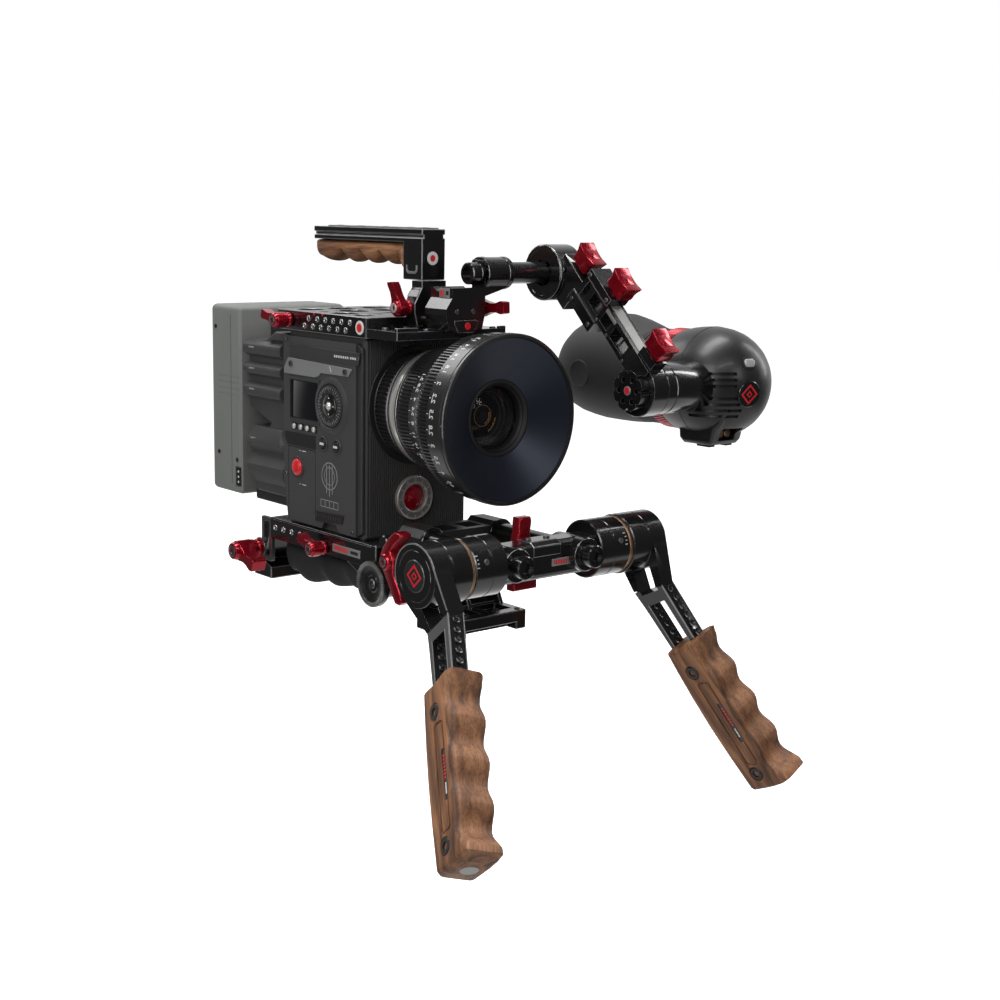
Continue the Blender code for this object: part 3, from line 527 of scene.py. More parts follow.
def photo_camera():
    """The camera at the photograph's angle: yaw to the right of +Y, pitch downwards, and a small roll."""
    forward = Vector((-math.sin(YAW) * math.cos(PITCH), math.cos(YAW) * math.cos(PITCH), -math.sin(PITCH)))
    right = forward.cross(Vector((0, 0, 1))).normalized()
    up = right.cross(forward)
    across = right * math.cos(ROLL) + up * math.sin(ROLL)
    above = up * math.cos(ROLL) - right * math.sin(ROLL)
    data = bpy.data.cameras.new("camera")
    data.lens = 57.54
    data.sensor_width = 36
    data.clip_start = 0.05
    data.clip_end = 100
    camera = bpy.data.objects.new("camera", data)
    turn = Matrix((across, above, -forward)).transposed().to_4x4()
    camera.matrix_world = Matrix.Translation(CAMERA_PLACE) @ turn
    bpy.context.scene.collection.objects.link(camera)
    bpy.context.scene.camera = camera


# ---------------------------------------------------------------- small parts

def screw(radius, height=1.2):
    """A socket-head screw that stands on z = 0."""
    profile = [(0, 0), (radius, 0), (radius, height * 0.75), (radius * 0.88, height), (radius * 0.5, height),
               (radius * 0.45, height * 0.3), (0, height * 0.3)]
    return turned("Z", (0, 0), profile, 24)


def screws(points, normal, radius, height=1.2):
    """Socket-head screws that stand on the given points."""
    return merge(*[moved(screw(radius, height), facing(point, normal)) for point in points])


def dimple(radius):
    """A shallow polished bowl with a narrow rim, on z = 0."""
    profile = [(0, 0.04), (radius * 0.3, 0.08), (radius * 0.6, 0.26), (radius * 0.86, 0.62),
               (radius * 0.94, 0.72), (radius, 0.6), (radius, 0), (0, 0)]
    return turned("Z", (0, 0), profile, 20)


def lever(name, joint, outward, pointing, barrel, reach, tip, radius, body, node_name, screw_finish=STEEL, lean=0):
    """A clamp lever: a turned barrel with a screw in its end and a waisted paddle that may lean outwards."""
    pivot = from_row(JOINTS[joint]["pos_m"])
    place = frame_at(pivot, pointing, Vector(outward).cross(Vector(pointing)))
    hub = radius - 0.4
    profile = [(0, 0), (hub - 1, 0), (hub - 0.2, 0.8), (hub - 0.2, barrel * 0.16),
               (hub - 0.9, barrel * 0.2), (hub - 0.9, barrel * 0.24), (hub, barrel * 0.28), (hub, barrel * 0.88),
               (hub - 1.1, barrel), (0, barrel)]
    shaft = turned("Z", (0, 0), profile, 40)
    paddle = circle((0, 0), radius, 14, 0.5 * math.pi, math.pi)
    paddle += [(radius * 0.55, -radius * 0.82), (reach * 0.45, -radius * 0.52), (reach * 0.62, -radius * 0.5),
               (reach * 0.86, -tip * 0.5), (reach, -tip * 0.42), (reach, tip * 0.42), (reach * 0.86, tip * 0.5),
               (reach * 0.62, radius * 0.5), (reach * 0.45, radius * 0.52), (radius * 0.55, radius * 0.82)]
    paddle = prism("Z", paddle, barrel * 0.38, barrel * 0.86)
    for vert in paddle.verts:
        vert.co.z += lean * max(0, vert.co.x - 0.7 * radius)
    piece(name, merge(shaft, paddle), RED, body, (node_name,), 0.8, place)
    head = moved(screw(hub * 0.6, 0.9), Matrix.Translation((0, 0, barrel - 0.35)))
    piece(f"{name}_screw", head, screw_finish, body, place=place)


def pillow(axis, outline, low, high, radius, steps=5, spine=None):
    """An outline pushed along an axis whose long edges are rounded by pulling the outline inwards near both ends.

    Without a spine the outline is pulled at right angles to its own edges; with one, towards that line.
    """
    count = len(outline)
    area = sum(outline[i][0] * outline[(i + 1) % count][1] - outline[(i + 1) % count][0] * outline[i][1]
               for i in range(count))
    turn = 1 if area > 0 else -1
    normals = []
    for index in range(count):
        before, here, after = (Vector(outline[(index + k) % count]) for k in (-1, 0, 1))
        first, second = (here - before).normalized(), (after - here).normalized()
        sides = Vector((first.y, -first.x)) + Vector((second.y, -second.x))
        length = max(sides.length, 1)
        normals.append(turn * sides * 2 / length ** 2 if sides.length > 1 else turn * sides)
    if spine:
        start, end = (Vector(point) for point in spine)
        run = end - start
        normals = []
        for point in outline:
            part = min(1, max(0, (Vector(point) - start).dot(run) / run.length_squared))
            away = Vector(point) - start - run * part
            normals.append(away.normalized() * min(1, 0.85 * away.length / radius))
    levels = []
    for step in range(steps + 1):
        angle = 0.5 * math.pi * step / steps
        levels.append((radius * (1 - math.sin(angle)), low + radius * (1 - math.cos(angle))))
    levels += [(inset, low + high - along) for inset, along in reversed(levels)]
    bm = bmesh.new()
    rings = []
    for inset, along in levels:
        ring = []
        for (u, v), normal in zip(outline, normals):
            ring.append(bm.verts.new(on_axis(axis, u - normal.x * inset, v - normal.y * inset, along)))
        rings.append(ring)
    bm.faces.new(rings[0])
    bm.faces.new(rings[-1])
    for ring, following in zip(rings, rings[1:]):
        for index in range(count):
            after = (index + 1) % count
            bm.faces.new((ring[index], ring[after], following[after], following[index]))
    bmesh.ops.recalc_face_normals(bm, faces=bm.faces)
    return bm


def lettering(text, size):
    """Upright numerals in the XY plane, centred on the origin and pushed out along +Z."""
    curve = bpy.data.curves.new("numerals", "FONT")
    curve.body = text
    curve.size = size
    curve.offset = 0.02 * size
    curve.align_x = "CENTER"
    curve.align_y = "CENTER"
    curve.extrude = 0.06
    curve.resolution_u = 2
    item = bpy.data.objects.new("numerals", curve)
    bpy.context.scene.collection.objects.link(item)
    graph = bpy.context.evaluated_depsgraph_get()
    bm = bmesh.new()
    bm.from_mesh(item.evaluated_get(graph).to_mesh())
    bpy.data.objects.remove(item)
    bpy.data.curves.remove(curve)
    return bm


def wrapped(bm, radius, along, angle, slope=0):
    """Bends a flat mark round the lens: its X follows the circle, its Y the axis, its Z the radius."""
    for vert in bm.verts:
        reach = radius - slope * vert.co.y + vert.co.z
        turn = angle + vert.co.x / radius
        vert.co = (reach * math.cos(turn), along + vert.co.y, reach * math.sin(turn))
    return bm


# ---------------------------------------------------------------- camera body

BODY_X, BODY_Y, BODY_Z = node_box("camera_body")
PANEL_FACE = -48
DIAL = tuple(from_row(JOINTS["jog_wheel_turn"]["pos_m"]))[1:]
RECORD = (180.6, -50.6)
ROUND_BUTTONS = {"mode_button": (147.6, -29.4), "lock_button": (130.7, -29.8)}
KEY_Y = (184.5, 176, 167.5, 159)
KEY_Z = -20.8


def camera_body():
    """The casing with fine upright ribs on its front, and a screwed door on its right side."""
    pitch, rise = 1.85, 0.65
    front = BODY_Y[0]
    outline = [(BODY_X[0], front + 3), (BODY_X[0] + 2, front + 0.4)]
    count = int((BODY_X[1] - BODY_X[0] - 6) / pitch)
    start = 0.5 * (BODY_X[0] + BODY_X[1]) - 0.5 * count * pitch
    for index in range(count):
        x = start + index * pitch
        outline += [(x, front + rise), (x + 0.45, front + rise), (x + 0.72, front), (x + 1.58, front)]
    outline += [(start + count * pitch, front + rise), (BODY_X[1] - 2, front + 0.4), (BODY_X[1], front + 3)]
    y = front + 14
    while y < BODY_Y[1] - 14:
        outline += [(BODY_X[1], y), (BODY_X[1] - 1.2, y + 0.5), (BODY_X[1] - 1.2, y + 2), (BODY_X[1], y + 2.5)]
        y += 5
    outline += [(BODY_X[1], BODY_Y[1]), (BODY_X[0], BODY_Y[1])]
    throat = drum("Y", (0, 0), 24, 90, 122)
    body = cut(prism("Z", outline, *BODY_Z), throat)
    piece("camera_body_ribbed", body, RIBBED, "camera", ("camera_body",))
    trims = merge(block((-43.6, 45.6), (front - 0.5, front + 1.6), (-92.5, -90.7)),
                  block((-43.6, 45.6), (front - 0.5, front + 1.6), (46.2, 48)))
    piece("body_front_trims", trims, BLACK_DULL, bevel=0.3)
    door = merge(pillow("X", rounded((112, 186), (-84, 38), 4), 44, 46.9, 0.8, 3),
                 pillow("X", rounded((122, 176), (-20, 26), 3), 46.2, 47.7, 0.6, 3),
                 *[prism("X", rounded((126, 172), (z, z + 2.2), 1, 3), 46.2, 48)
                   for z in (-74, -68, -62, -56, -50, -44)])
    piece("body_right_door", door, GREY_DARK)
    heads = [(46.9, y, z) for y in (116, 182) for z in (-80, 34)]
    piece("body_right_screws", screws(heads, (1, 0, 0), 2.1), STEEL)


def side_panel():
    """The raised left panel: bar, grey strip, screen, seams, button wells, grille and plain marks."""
    outline = [(108, -91), (129, -91), (132, -86), (147, -86), (150, -91), (194, -91),
               (199, -60), (199, 44), (108, 44)]
    deep, floor = -45.4, -60
    seam = (floor, -47.3)
    cuts = [block((floor, -47), (153.5, 189.5), (-15, 13)), drum("X", RECORD, 6.5, floor, deep)]
    cuts += [drum("X", centre, 4, floor, deep, segments=32) for centre in ROUND_BUTTONS.values()]
    cuts += [block((floor, deep), (y - 3.3, y + 3.3), (KEY_Z - 2.5, KEY_Z + 2.5)) for y in KEY_Y]
    cuts += [block(seam, (192.6, 193.3), (-91.5, -36)), block(seam, (157.7, 158.3), (-87, -36)),
             block(seam, (157.7, 193.3), (-36.6, -35.9))]
    panel = cut(prism("X", outline, PANEL_FACE, -44.3), *cuts)
    piece("side_panel_shell", panel, GREY, "camera", ("side_panel",), 0.5)
    edge = [(108.2, 43.8), (102.6, 40.5), (102.6, -88), (108.2, -91)]
    piece("side_panel_front_edge", prism("X", edge, -46.6, -43.9), GREY_DARK, bevel=0.9)
    bar = [(190.5, 38.1), (102.8, 38.1), (104.5, 29.4), (190.6, 29.8)]
    piece("panel_top_bar", prism("X", bar, -48.7, -47.8), GREY_DARK, bevel=0.35)
    strip = [(192, 28.4), (111.5, 26.3), (116.5, 20.6), (150, 20.4), (153, 17.8), (158, 16.6),
             (197.4, 16.6), (197.4, 20.8)]
    piece("panel_strip", prism("X", strip, -48.9, -47.8), GREY_LIGHT, bevel=0.4)
    piece("panel_strip_screws", screws([(-48.9, 188, 24), (-48.9, 119.6, 23.6)], (-1, 0, 0), 2.4, 0.8), STEEL)
    bezel = cut(pillow("X", rounded((151.6, 191.4), (-17.2, 15.2), 1.5), -48.8, -47.9, 0.4, 2),
                block((-60, -40), (153.6, 189.4), (-14.9, 12.9)))
    piece("screen_bezel", bezel, GREY_DARK)
    glass = pillow("X", rounded((154, 189), (-14.5, 12.5), 0.8, 3), -47.9, -47.3, 0.25, 2)
    piece("screen_pane", glass, SCREEN, "camera", ("screen_glass",))
    shade_plate = [(197, -25.5), (157.6, -25.2), (157.6, -35.2), (194, -35.1), (198.2, -29.4)]
    piece("key_shadow_plate", prism("X", shade_plate, -48.35, -47.8), BLACK_DULL, bevel=0.2)
    swell = [(15.6, -47.8), (15.6, -49.3), (16.2, -49.9), (17.4, -49.7), (19.8, -48.5), (20.6, -47.8)]
    piece("dial_surround", turned("X", DIAL, swell, 72), GREY_DARK)
    grille = [(158.6, -79.2), (121.5, -77.4), (123.6, -84), (157, -86.6)]
    piece("panel_grille", prism("X", grille, -48.5, -47.8), BLACK_DULL, bevel=0.2)
    ribs = [block((-48.8, -48.3), (124.5 + 3 * k, 126 + 3 * k), (-83, -80.2)) for k in range(11)]
    piece("panel_grille_bars", merge(*ribs), GREY_DARK)
    emblem = [hoop("X", (140, -52), 9.3, 9.9, -48.12, -47.95, 0.05),
              hoop("X", (140, -52), 6, 6.4, -48.12, -47.95, 0.05)]
    emblem += [block((-48.12, -47.95), (y, y + 0.6), (-64.5 - drop, -44))
               for y, drop in ((136.2, 0), (139.7, 2), (143.2, 0))]
    emblem += [block((-48.12, -47.95), (129, 151), (z, z + 0.5)) for z in (-70, -75)]
    emblem += [block((-48.12, -47.95), (129 + 5.4 * k, 129.5 + 5.4 * k), (-75, -69.5)) for k in range(5)]
    piece("panel_plain_marks", merge(*emblem), PRINT)
    dashes = [block((-48.85, -48.6), (y, y + 1.5), (33, 34.6))
              for y in (107, 109.6, 112.2, 116, 118.6, 121.2, 123.8, 126.4, 129, 131.6)]
    dashes += [block((-48.12, -47.9), (y, y + w), (z, z + 0.5))
               for y, w, z in ((170, 5.5, -38.4), (177, 1.6, -38.4), (170, 5, -63), (177, 1.6, -63))]
    dashes.append(moved(block((-0.12, 0.12), (-2.2, 2.2), (-0.3, 0.3)),
                        Matrix.Translation((-48.95, 137.5, 24.2)) @ Matrix.Rotation(1.1, 4, "X")))
    piece("panel_dashes", merge(*dashes), WHITE)
    corner = [(-48, y, z) for y, z in ((196, 41), (111.5, -88), (196, -57), (105.2, 34))]
    piece("panel_corner_screws", screws(corner, (-1, 0, 0), 1.5, 0.9), STEEL)


def panel_controls():
    """The jog wheel and its centre button, the record button, two round buttons and four small keys."""
    wheel = [(8.6, -48.3), (15, -48.3), (15, -49.4), (14.2, -50), (9.6, -50.2), (8.6, -49.8)]
    wheel = turned("X", DIAL, wheel, 144, lambda step, r: r - 0.35 if r > 14.1 and step % 4 > 1 else r)
    piece("jog_wheel_ring", wheel, SATIN, "jog_wheel", ("jog_wheel",))
    marks = []
    for step in range(36):
        angle = math.tau * step / 36
        length = 2 if step % 3 else 3.4
        tick = block((-0.14, 0.14), (13.6 - length, 13.6), (-0.17, 0.17))
        marks.append(moved(tick, Matrix.Translation((-50.08, *DIAL)) @ Matrix.Rotation(angle, 4, "X")))
    piece("jog_wheel_ticks", merge(*marks), PRINT, "jog_wheel")
    cap = [(0, -50), (3, -50), (3.6, -50.5), (7.2, -50.5), (8.1, -50), (8.1, -49.3), (0, -49.3)]
    piece("jog_button_cap", turned("X", DIAL, cap, 40), BLACK, "jog_button", ("jog_button",))
    ball = [(0, -52.4), (1, -52.2), (1.9, -51.7), (2.6, -50.9), (2.8, -50.1), (2.8, -49.6), (0, -49.6)]
    piece("jog_button_stud", turned("X", DIAL, ball, 32), SILVER, "jog_button", smooth=60)
    arrows = []
    for step in range(4):
        mark = prism("X", [(6.6, 0), (5.2, 0.7), (5.2, -0.7)], -0.1, 0.1)
        turn = Matrix.Rotation(0.5 * math.pi * step, 4, "X")
        arrows.append(moved(mark, Matrix.Translation((-50.52, *DIAL)) @ turn))
    piece("jog_button_arrows", merge(*arrows), WHITE, "jog_button")
    dome = [(0, -50.7), (3.4, -50.5), (5.4, -49.9), (6.2, -49), (6.2, -46.8), (0, -46.8)]
    piece("record_button_cap", turned("X", RECORD, dome, 48), RED_PAINT, "record_button", ("record_button",))
    piece("record_bezel", hoop("X", RECORD, 6.6, 7.9, -48.7, -47.6, 0.3), GREY_DARK)
    for name, centre in ROUND_BUTTONS.items():
        cap = [(0, -49.4), (2.6, -49.5), (3.4, -49.2), (3.7, -48.6), (3.7, -46.8), (0, -46.8)]
        piece(f"{name}_cap", turned("X", centre, cap, 32), BLACK_DULL, name, (name,))
        bar = block((-49.75, -49.3), (centre[0] - 2.5, centre[0] + 2.5), (centre[1] - 1, centre[1] + 0.7))
        piece(f"{name}_bar", bar, WHITE, name, bevel=0.15)
        ring = hoop("X", centre, 4.05, 5.5, -48.9, -47.7, 0.5, 40)
        piece(f"{name}_bezel", ring, GREY_DARK)
    for index, y in enumerate(KEY_Y, start=1):
        name = f"soft_key_{index}"
        base = pillow("X", rounded((y - 3, y + 3), (KEY_Z - 2.2, KEY_Z + 2.2), 1, 3), -48.6, -46.8, 0.4, 2)
        piece(f"{name}_base", base, BLACK_DULL, name, (name,))
        dome = [(0, -50), (1, -49.8), (1.9, -49.2), (2.1, -48.5), (0, -48.5)]
        piece(f"{name}_dome", turned("X", (y, KEY_Z), dome, 24), SILVER, name)


def connector_housing():
    """Three round-nosed ribs over two wedge covers, behind the side panel."""
    inner = -20.3
    back = [(199.3, 44), (222, 40), (256, 36), (256, -14), (226, -24), (236, -34),
            (252, -44), (252, -67), (240, -76), (199.3, -76.5)]
    parts = [pillow("X", back, -42.5, inner, 2, 4)]
    top = [(199.8, 45), (215, 45), (226, 38.5), (199.8, 38.5)]
    parts.append(pillow("X", top, -45.5, inner, 1.6, 4))
    for low, high in ((24, 37.6), (9.2, 21.4), (-7.5, 6)):
        nose = [(inner, low), (inner, high), (-38, high), (-44, high - 1.2), (-47.4, high - 3.8),
                (-48, 0.5 * (low + high)), (-47.2, low + 3.4), (-44, low + 1.2), (-38, low)]
        rib = prism("Y", nose, 203.5, 258.6)
        for vert in rib.verts:
            ends = min(vert.co.y - 203.5, 258.6 - vert.co.y)
            if ends < 0.1 and vert.co.x < -38.5:
                vert.co.y += 2.2 if vert.co.y < 230 else -2.2
        parts.append(rib)
    wedges = (([(250, -27.5), (258.5, -36), (258, -42.5), (250, -47), (203, -46), (200.5, -37),
                (209.6, -27.6)], [(252, -36.5), (206, -35), (251, -40.5), (205, -40)]),
              ([(252, -48.5), (258.5, -56), (257.7, -63), (245.7, -72), (199.8, -71), (199.8, -48.5)],
               [(253, -56.5), (202.5, -56), (250.5, -62), (202.5, -63)]))
    for outline, ridge in wedges:
        wedge = bmesh.new()
        for level, points in ((inner, outline), (-42.8, outline), (-47.9, ridge)):
            for u, v in points:
                wedge.verts.new((level, u, v))
        bmesh.ops.convex_hull(wedge, input=wedge.verts)
        parts.append(wedge)
    foot = [(250, -66), (244, -76.8), (199.6, -76.8), (199.6, -64)]
    parts.append(pillow("X", foot, -44, inner, 1.6, 3))
    piece("connector_ribs", merge(*parts), GREY, "camera", ("connector_housing",), 0.9)
    caps = [moved(drum("Z", (0, 0), 4.6, 0, 1.2, 0.3, 32), facing((-38, 258.4, z), (0, 1, 0)))
            for z in (15.3, -0.8)]
    piece("connector_caps", merge(*caps), SILVER)
    marks = [block((-48.16, -47.9), (240, 247), (z, z + 1.1)) for z in (31.4, 15.6, 0)]
    piece("connector_marks", merge(*marks), PRINT)
    low = [block((-47.72, -47.5), (239, 246), (z, z + 1.1)) for z in (-37, -58)]
    piece("connector_low_marks", merge(*low), PRINT)


def rear_module():
    """The finned module between the casing and the battery."""
    x, y, z = node_box("rear_module")
    fins = [(x[0], y[0]), (x[1], y[0])]
    step = y[0] + 6
    while step < y[1] - 8:
        fins += [(x[1], step), (x[1] - 3, step + 0.4), (x[1] - 3, step + 2.6), (x[1], step + 3)]
        step += 5.5
    fins += [(x[1], y[1]), (x[0], y[1])]
    grooves = [block((x[0] + 6, x[1] - 6), (y[0] + 13 + 6 * k, y[0] + 15.4 + 6 * k), (z[1] - 2, 70))
               for k in range(7)]
    body = cut(prism("Z", fins, *z), *grooves)
    piece("rear_module_shell", body, SATIN, "camera", ("rear_module",), 0.4)
    foot = block((-40, -21), (206, 252), (-85, -60))
    piece("rear_module_foot", foot, SATIN, bevel=1.5)


def battery():
    """The battery pack: round edges, a speaker grid, a seam, an indicator window and ribs on its back."""
    x, y, z = node_box("battery_pack")
    outline = [(x[1], y[0]), (x[1], y[1] - 7)] + circle((x[1] - 7, y[1] - 7), 7, 6, 0, 0.5 * math.pi)[1:]
    outline += circle((x[0] + 7, y[1] - 7), 7, 6, 0.5 * math.pi, 0.5 * math.pi)
    outline += [(x[0], y[0] + 2), (x[0] + 2, y[0])]
    holes = [drum("X", (263 + 3.4 * k + 1.7 * (row % 2), 7 - 4.6 * row), 0.5, -60, x[0] + 0.8, 0.1, 10)
             for k in range(9) for row in range(4)]
    seam = [block((-60, x[0] + 0.7), (273.6, 274.4), (-76, 54))]
    led = [block((-60, x[0] + 1), (260, 269), (-77.5, -61.5))]
    shell = cut(pillow("Z", outline, *z, 4), merge(*holes), *seam, *led)
    piece("battery_shell", shell, PACK, "battery", ("battery_pack",))
    piece("battery_led_window", block((x[0] + 0.1, x[0] + 1.2), (262, 268.3), (-76.8, -62.2)), SCREEN, "battery",
          bevel=0.3)
    piece("battery_leds", merge(*[drum("X", (264.8, z0), 0.9, x[0] - 0.2, x[0] + 0.5, 0.2, 16)
                                  for z0 in (-65.5, -69.5, -73.5)]), WHITE, "battery")
    heads = [(x[0], 292.9, -53), (x[0], 266.2, -56.5), (x[0], 296, 44)]
    piece("battery_screws", screws(heads, (-1, 0, 0), 1.7, 0.5), BLACK_DULL, "battery")
    band = merge(*[pillow("Y", rounded((-34, 34), (z0, z0 + 7), 3), y[1] - 0.6, y[1] + 0.7, 0.5, 3)
                   for z0 in (-60, -46, -32)])
    piece("battery_back_ribs", band, PACK_DARK, "battery")


def front_badge():
    """A plain ring of ticks round a red jewel."""
    centre = (-2.8, -65.9)
    ring = [(9.4, 101.9), (9.4, 99.6), (10.4, 98.9), (11.4, 99.3), (14.6, 99.3), (15.2, 98.9), (15.8, 99.4),
            (15.8, 101.9)]
    piece("badge_ring", turned("Y", centre, ring, 96), BADGE, "camera", ("badge_bezel",))
    ticks = []
    for step in range(48):
        tick = block((11.7, 14.3), (-0.15, 0.15), (-0.28, 0.28))
        if step % 4:
            turn = Matrix.Rotation(math.tau * step / 48, 4, "Y")
            ticks.append(moved(tick, Matrix.Translation((centre[0], 99.3, centre[1])) @ turn))
    piece("badge_ticks", merge(*ticks), STEEL)
    dome = [(0, 99.3), (4, 99.6), (7.6, 100.4), (9.4, 101.4), (9.4, 102.2), (0, 102.2)]
    piece("badge_jewel", turned("Y", centre, dome, 16), JEWEL)


def top_plate():
    """The drilled plate on top of the casing, with two rows of dimples along each side."""
    x, y, z = node_box("top_plate")
    holes = [(-30, 190, 11, 48), (-3, 191, 11.5, 48), (26, 189, 12, 48), (-34, 166, 9, 3),
             (-12, 164, 12.5, 48), (18, 163, 12.5, 48), (39, 168, 7, 3), (-33, 143, 10.5, 48),
             (2, 139, 10, 3), (31, 137, 12, 48), (-14, 128, 8, 3), (-34, 119, 8.5, 48),
             (33, 114, 8, 3)]
    cutter = []
    for cx, cy, radius, sides in holes:
        outline = circle((cx, cy), radius, sides)
        if sides == 3:
            outline = [point for k in range(3)
                       for point in circle((cx + (radius - 2.2) * math.cos(math.tau * k / 3),
                                            cy + (radius - 2.2) * math.sin(math.tau * k / 3)), 1.1, 5,
                                           math.tau * k / 3 - math.pi / 3, math.tau / 3)]
        cutter.append(prism("Z", outline, 40, 70))
    small = [(-40, 200), (-8, 201), (20, 201), (40, 200), (-40, 172), (40, 176),
             (8, 146), (-22, 144), (40, 146), (12, 122), (-14, 114), (20, 108),
             (38, 112), (-38, 108), (-40, 140), (4, 176), (11, 203), (-17, 204)]
    small = [point for point in small if all(math.dist(point, hole[:2]) > hole[2] + 3.4 for hole in holes)]
    cutter += [drum("Z", centre, 2.1, 40, 70, 0.2, 20) for centre in small]
    plate_shape = cut(prism("Z", rounded(x, y, 2, 4), *z), merge(*cutter))
    item = piece("top_plate_cut", plate_shape, BLACK, "camera", ("top_plate",), 0.6)
    # the faces looking up get a lighter finish: a painted sheen, with rub marks
    item.data.materials.append(PLATE_TOP_WEAR_AND_SHEEN)
    for polygon in item.data.polygons:
        if polygon.normal.z > 0.9:
            polygon.material_index = 2
    rows = [(v, 57.8) for v in (165.8, 154.8, 144.8, 135, 125, 114.9)]
    rows += [(v, 52.4) for v in (170.9, 160.4, 150.4, 140.2, 129.8, 119.9)]
    cups = [moved(dimple(2.1), facing((x[0] + 0.05, v, w), (-1, 0, 0))) for v, w in rows]
    cups += [moved(dimple(2.1), facing((x[1] - 0.05, v, w), (1, 0, 0))) for v, w in rows]
    piece("plate_edge_dimples", merge(*cups), BOWL, smooth=70)
    disc = drum("X", (103.2, 55.2), 4.8, -48.7, -47.9, 0.3, 40)
    piece("plate_disc", disc, WHITE)
    piece("plate_disc_centre", drum("X", (103.2, 55.2), 3, -48.9, -48.6, 0.1, 32), RED_PAINT)
    arrows = [prism("X", [(v - 1.8, 62.2), (v + 1.8, 62.2), (v, 60.2)], -48.2, -47.9) for v in (159.1, 148.5)]
    piece("plate_arrows", merge(*arrows), RED_PAINT)


def front_shelf():
    """The accessory shelf over the lens."""
    dress("front_shelf", BLACK, 0.5)
    heads = [(x, y, 55) for x in (-38, -20, 20, 38) for y in (66, 88)]
    piece("shelf_screws", screws(heads, (0, 0, 1), 2.2, 1), STEEL)
    lips = merge(block((-48, -30), (61, 64), (54.6, 57.5)), block((40, 46), (61, 64), (54.6, 56.6)))
    piece("shelf_lips", lips, BLACK, bevel=0.5)
    rail_disc = moved(drum("Z", (0, 0), 2.5, 0, 0.7, 0.2, 32), facing((1.1, 48, 58.3), (0, -1, 0)))
    piece("rail_disc", rail_disc, RED_PAINT)


# ---------------------------------------------------------------- lens

CENTRE = (0, 0)


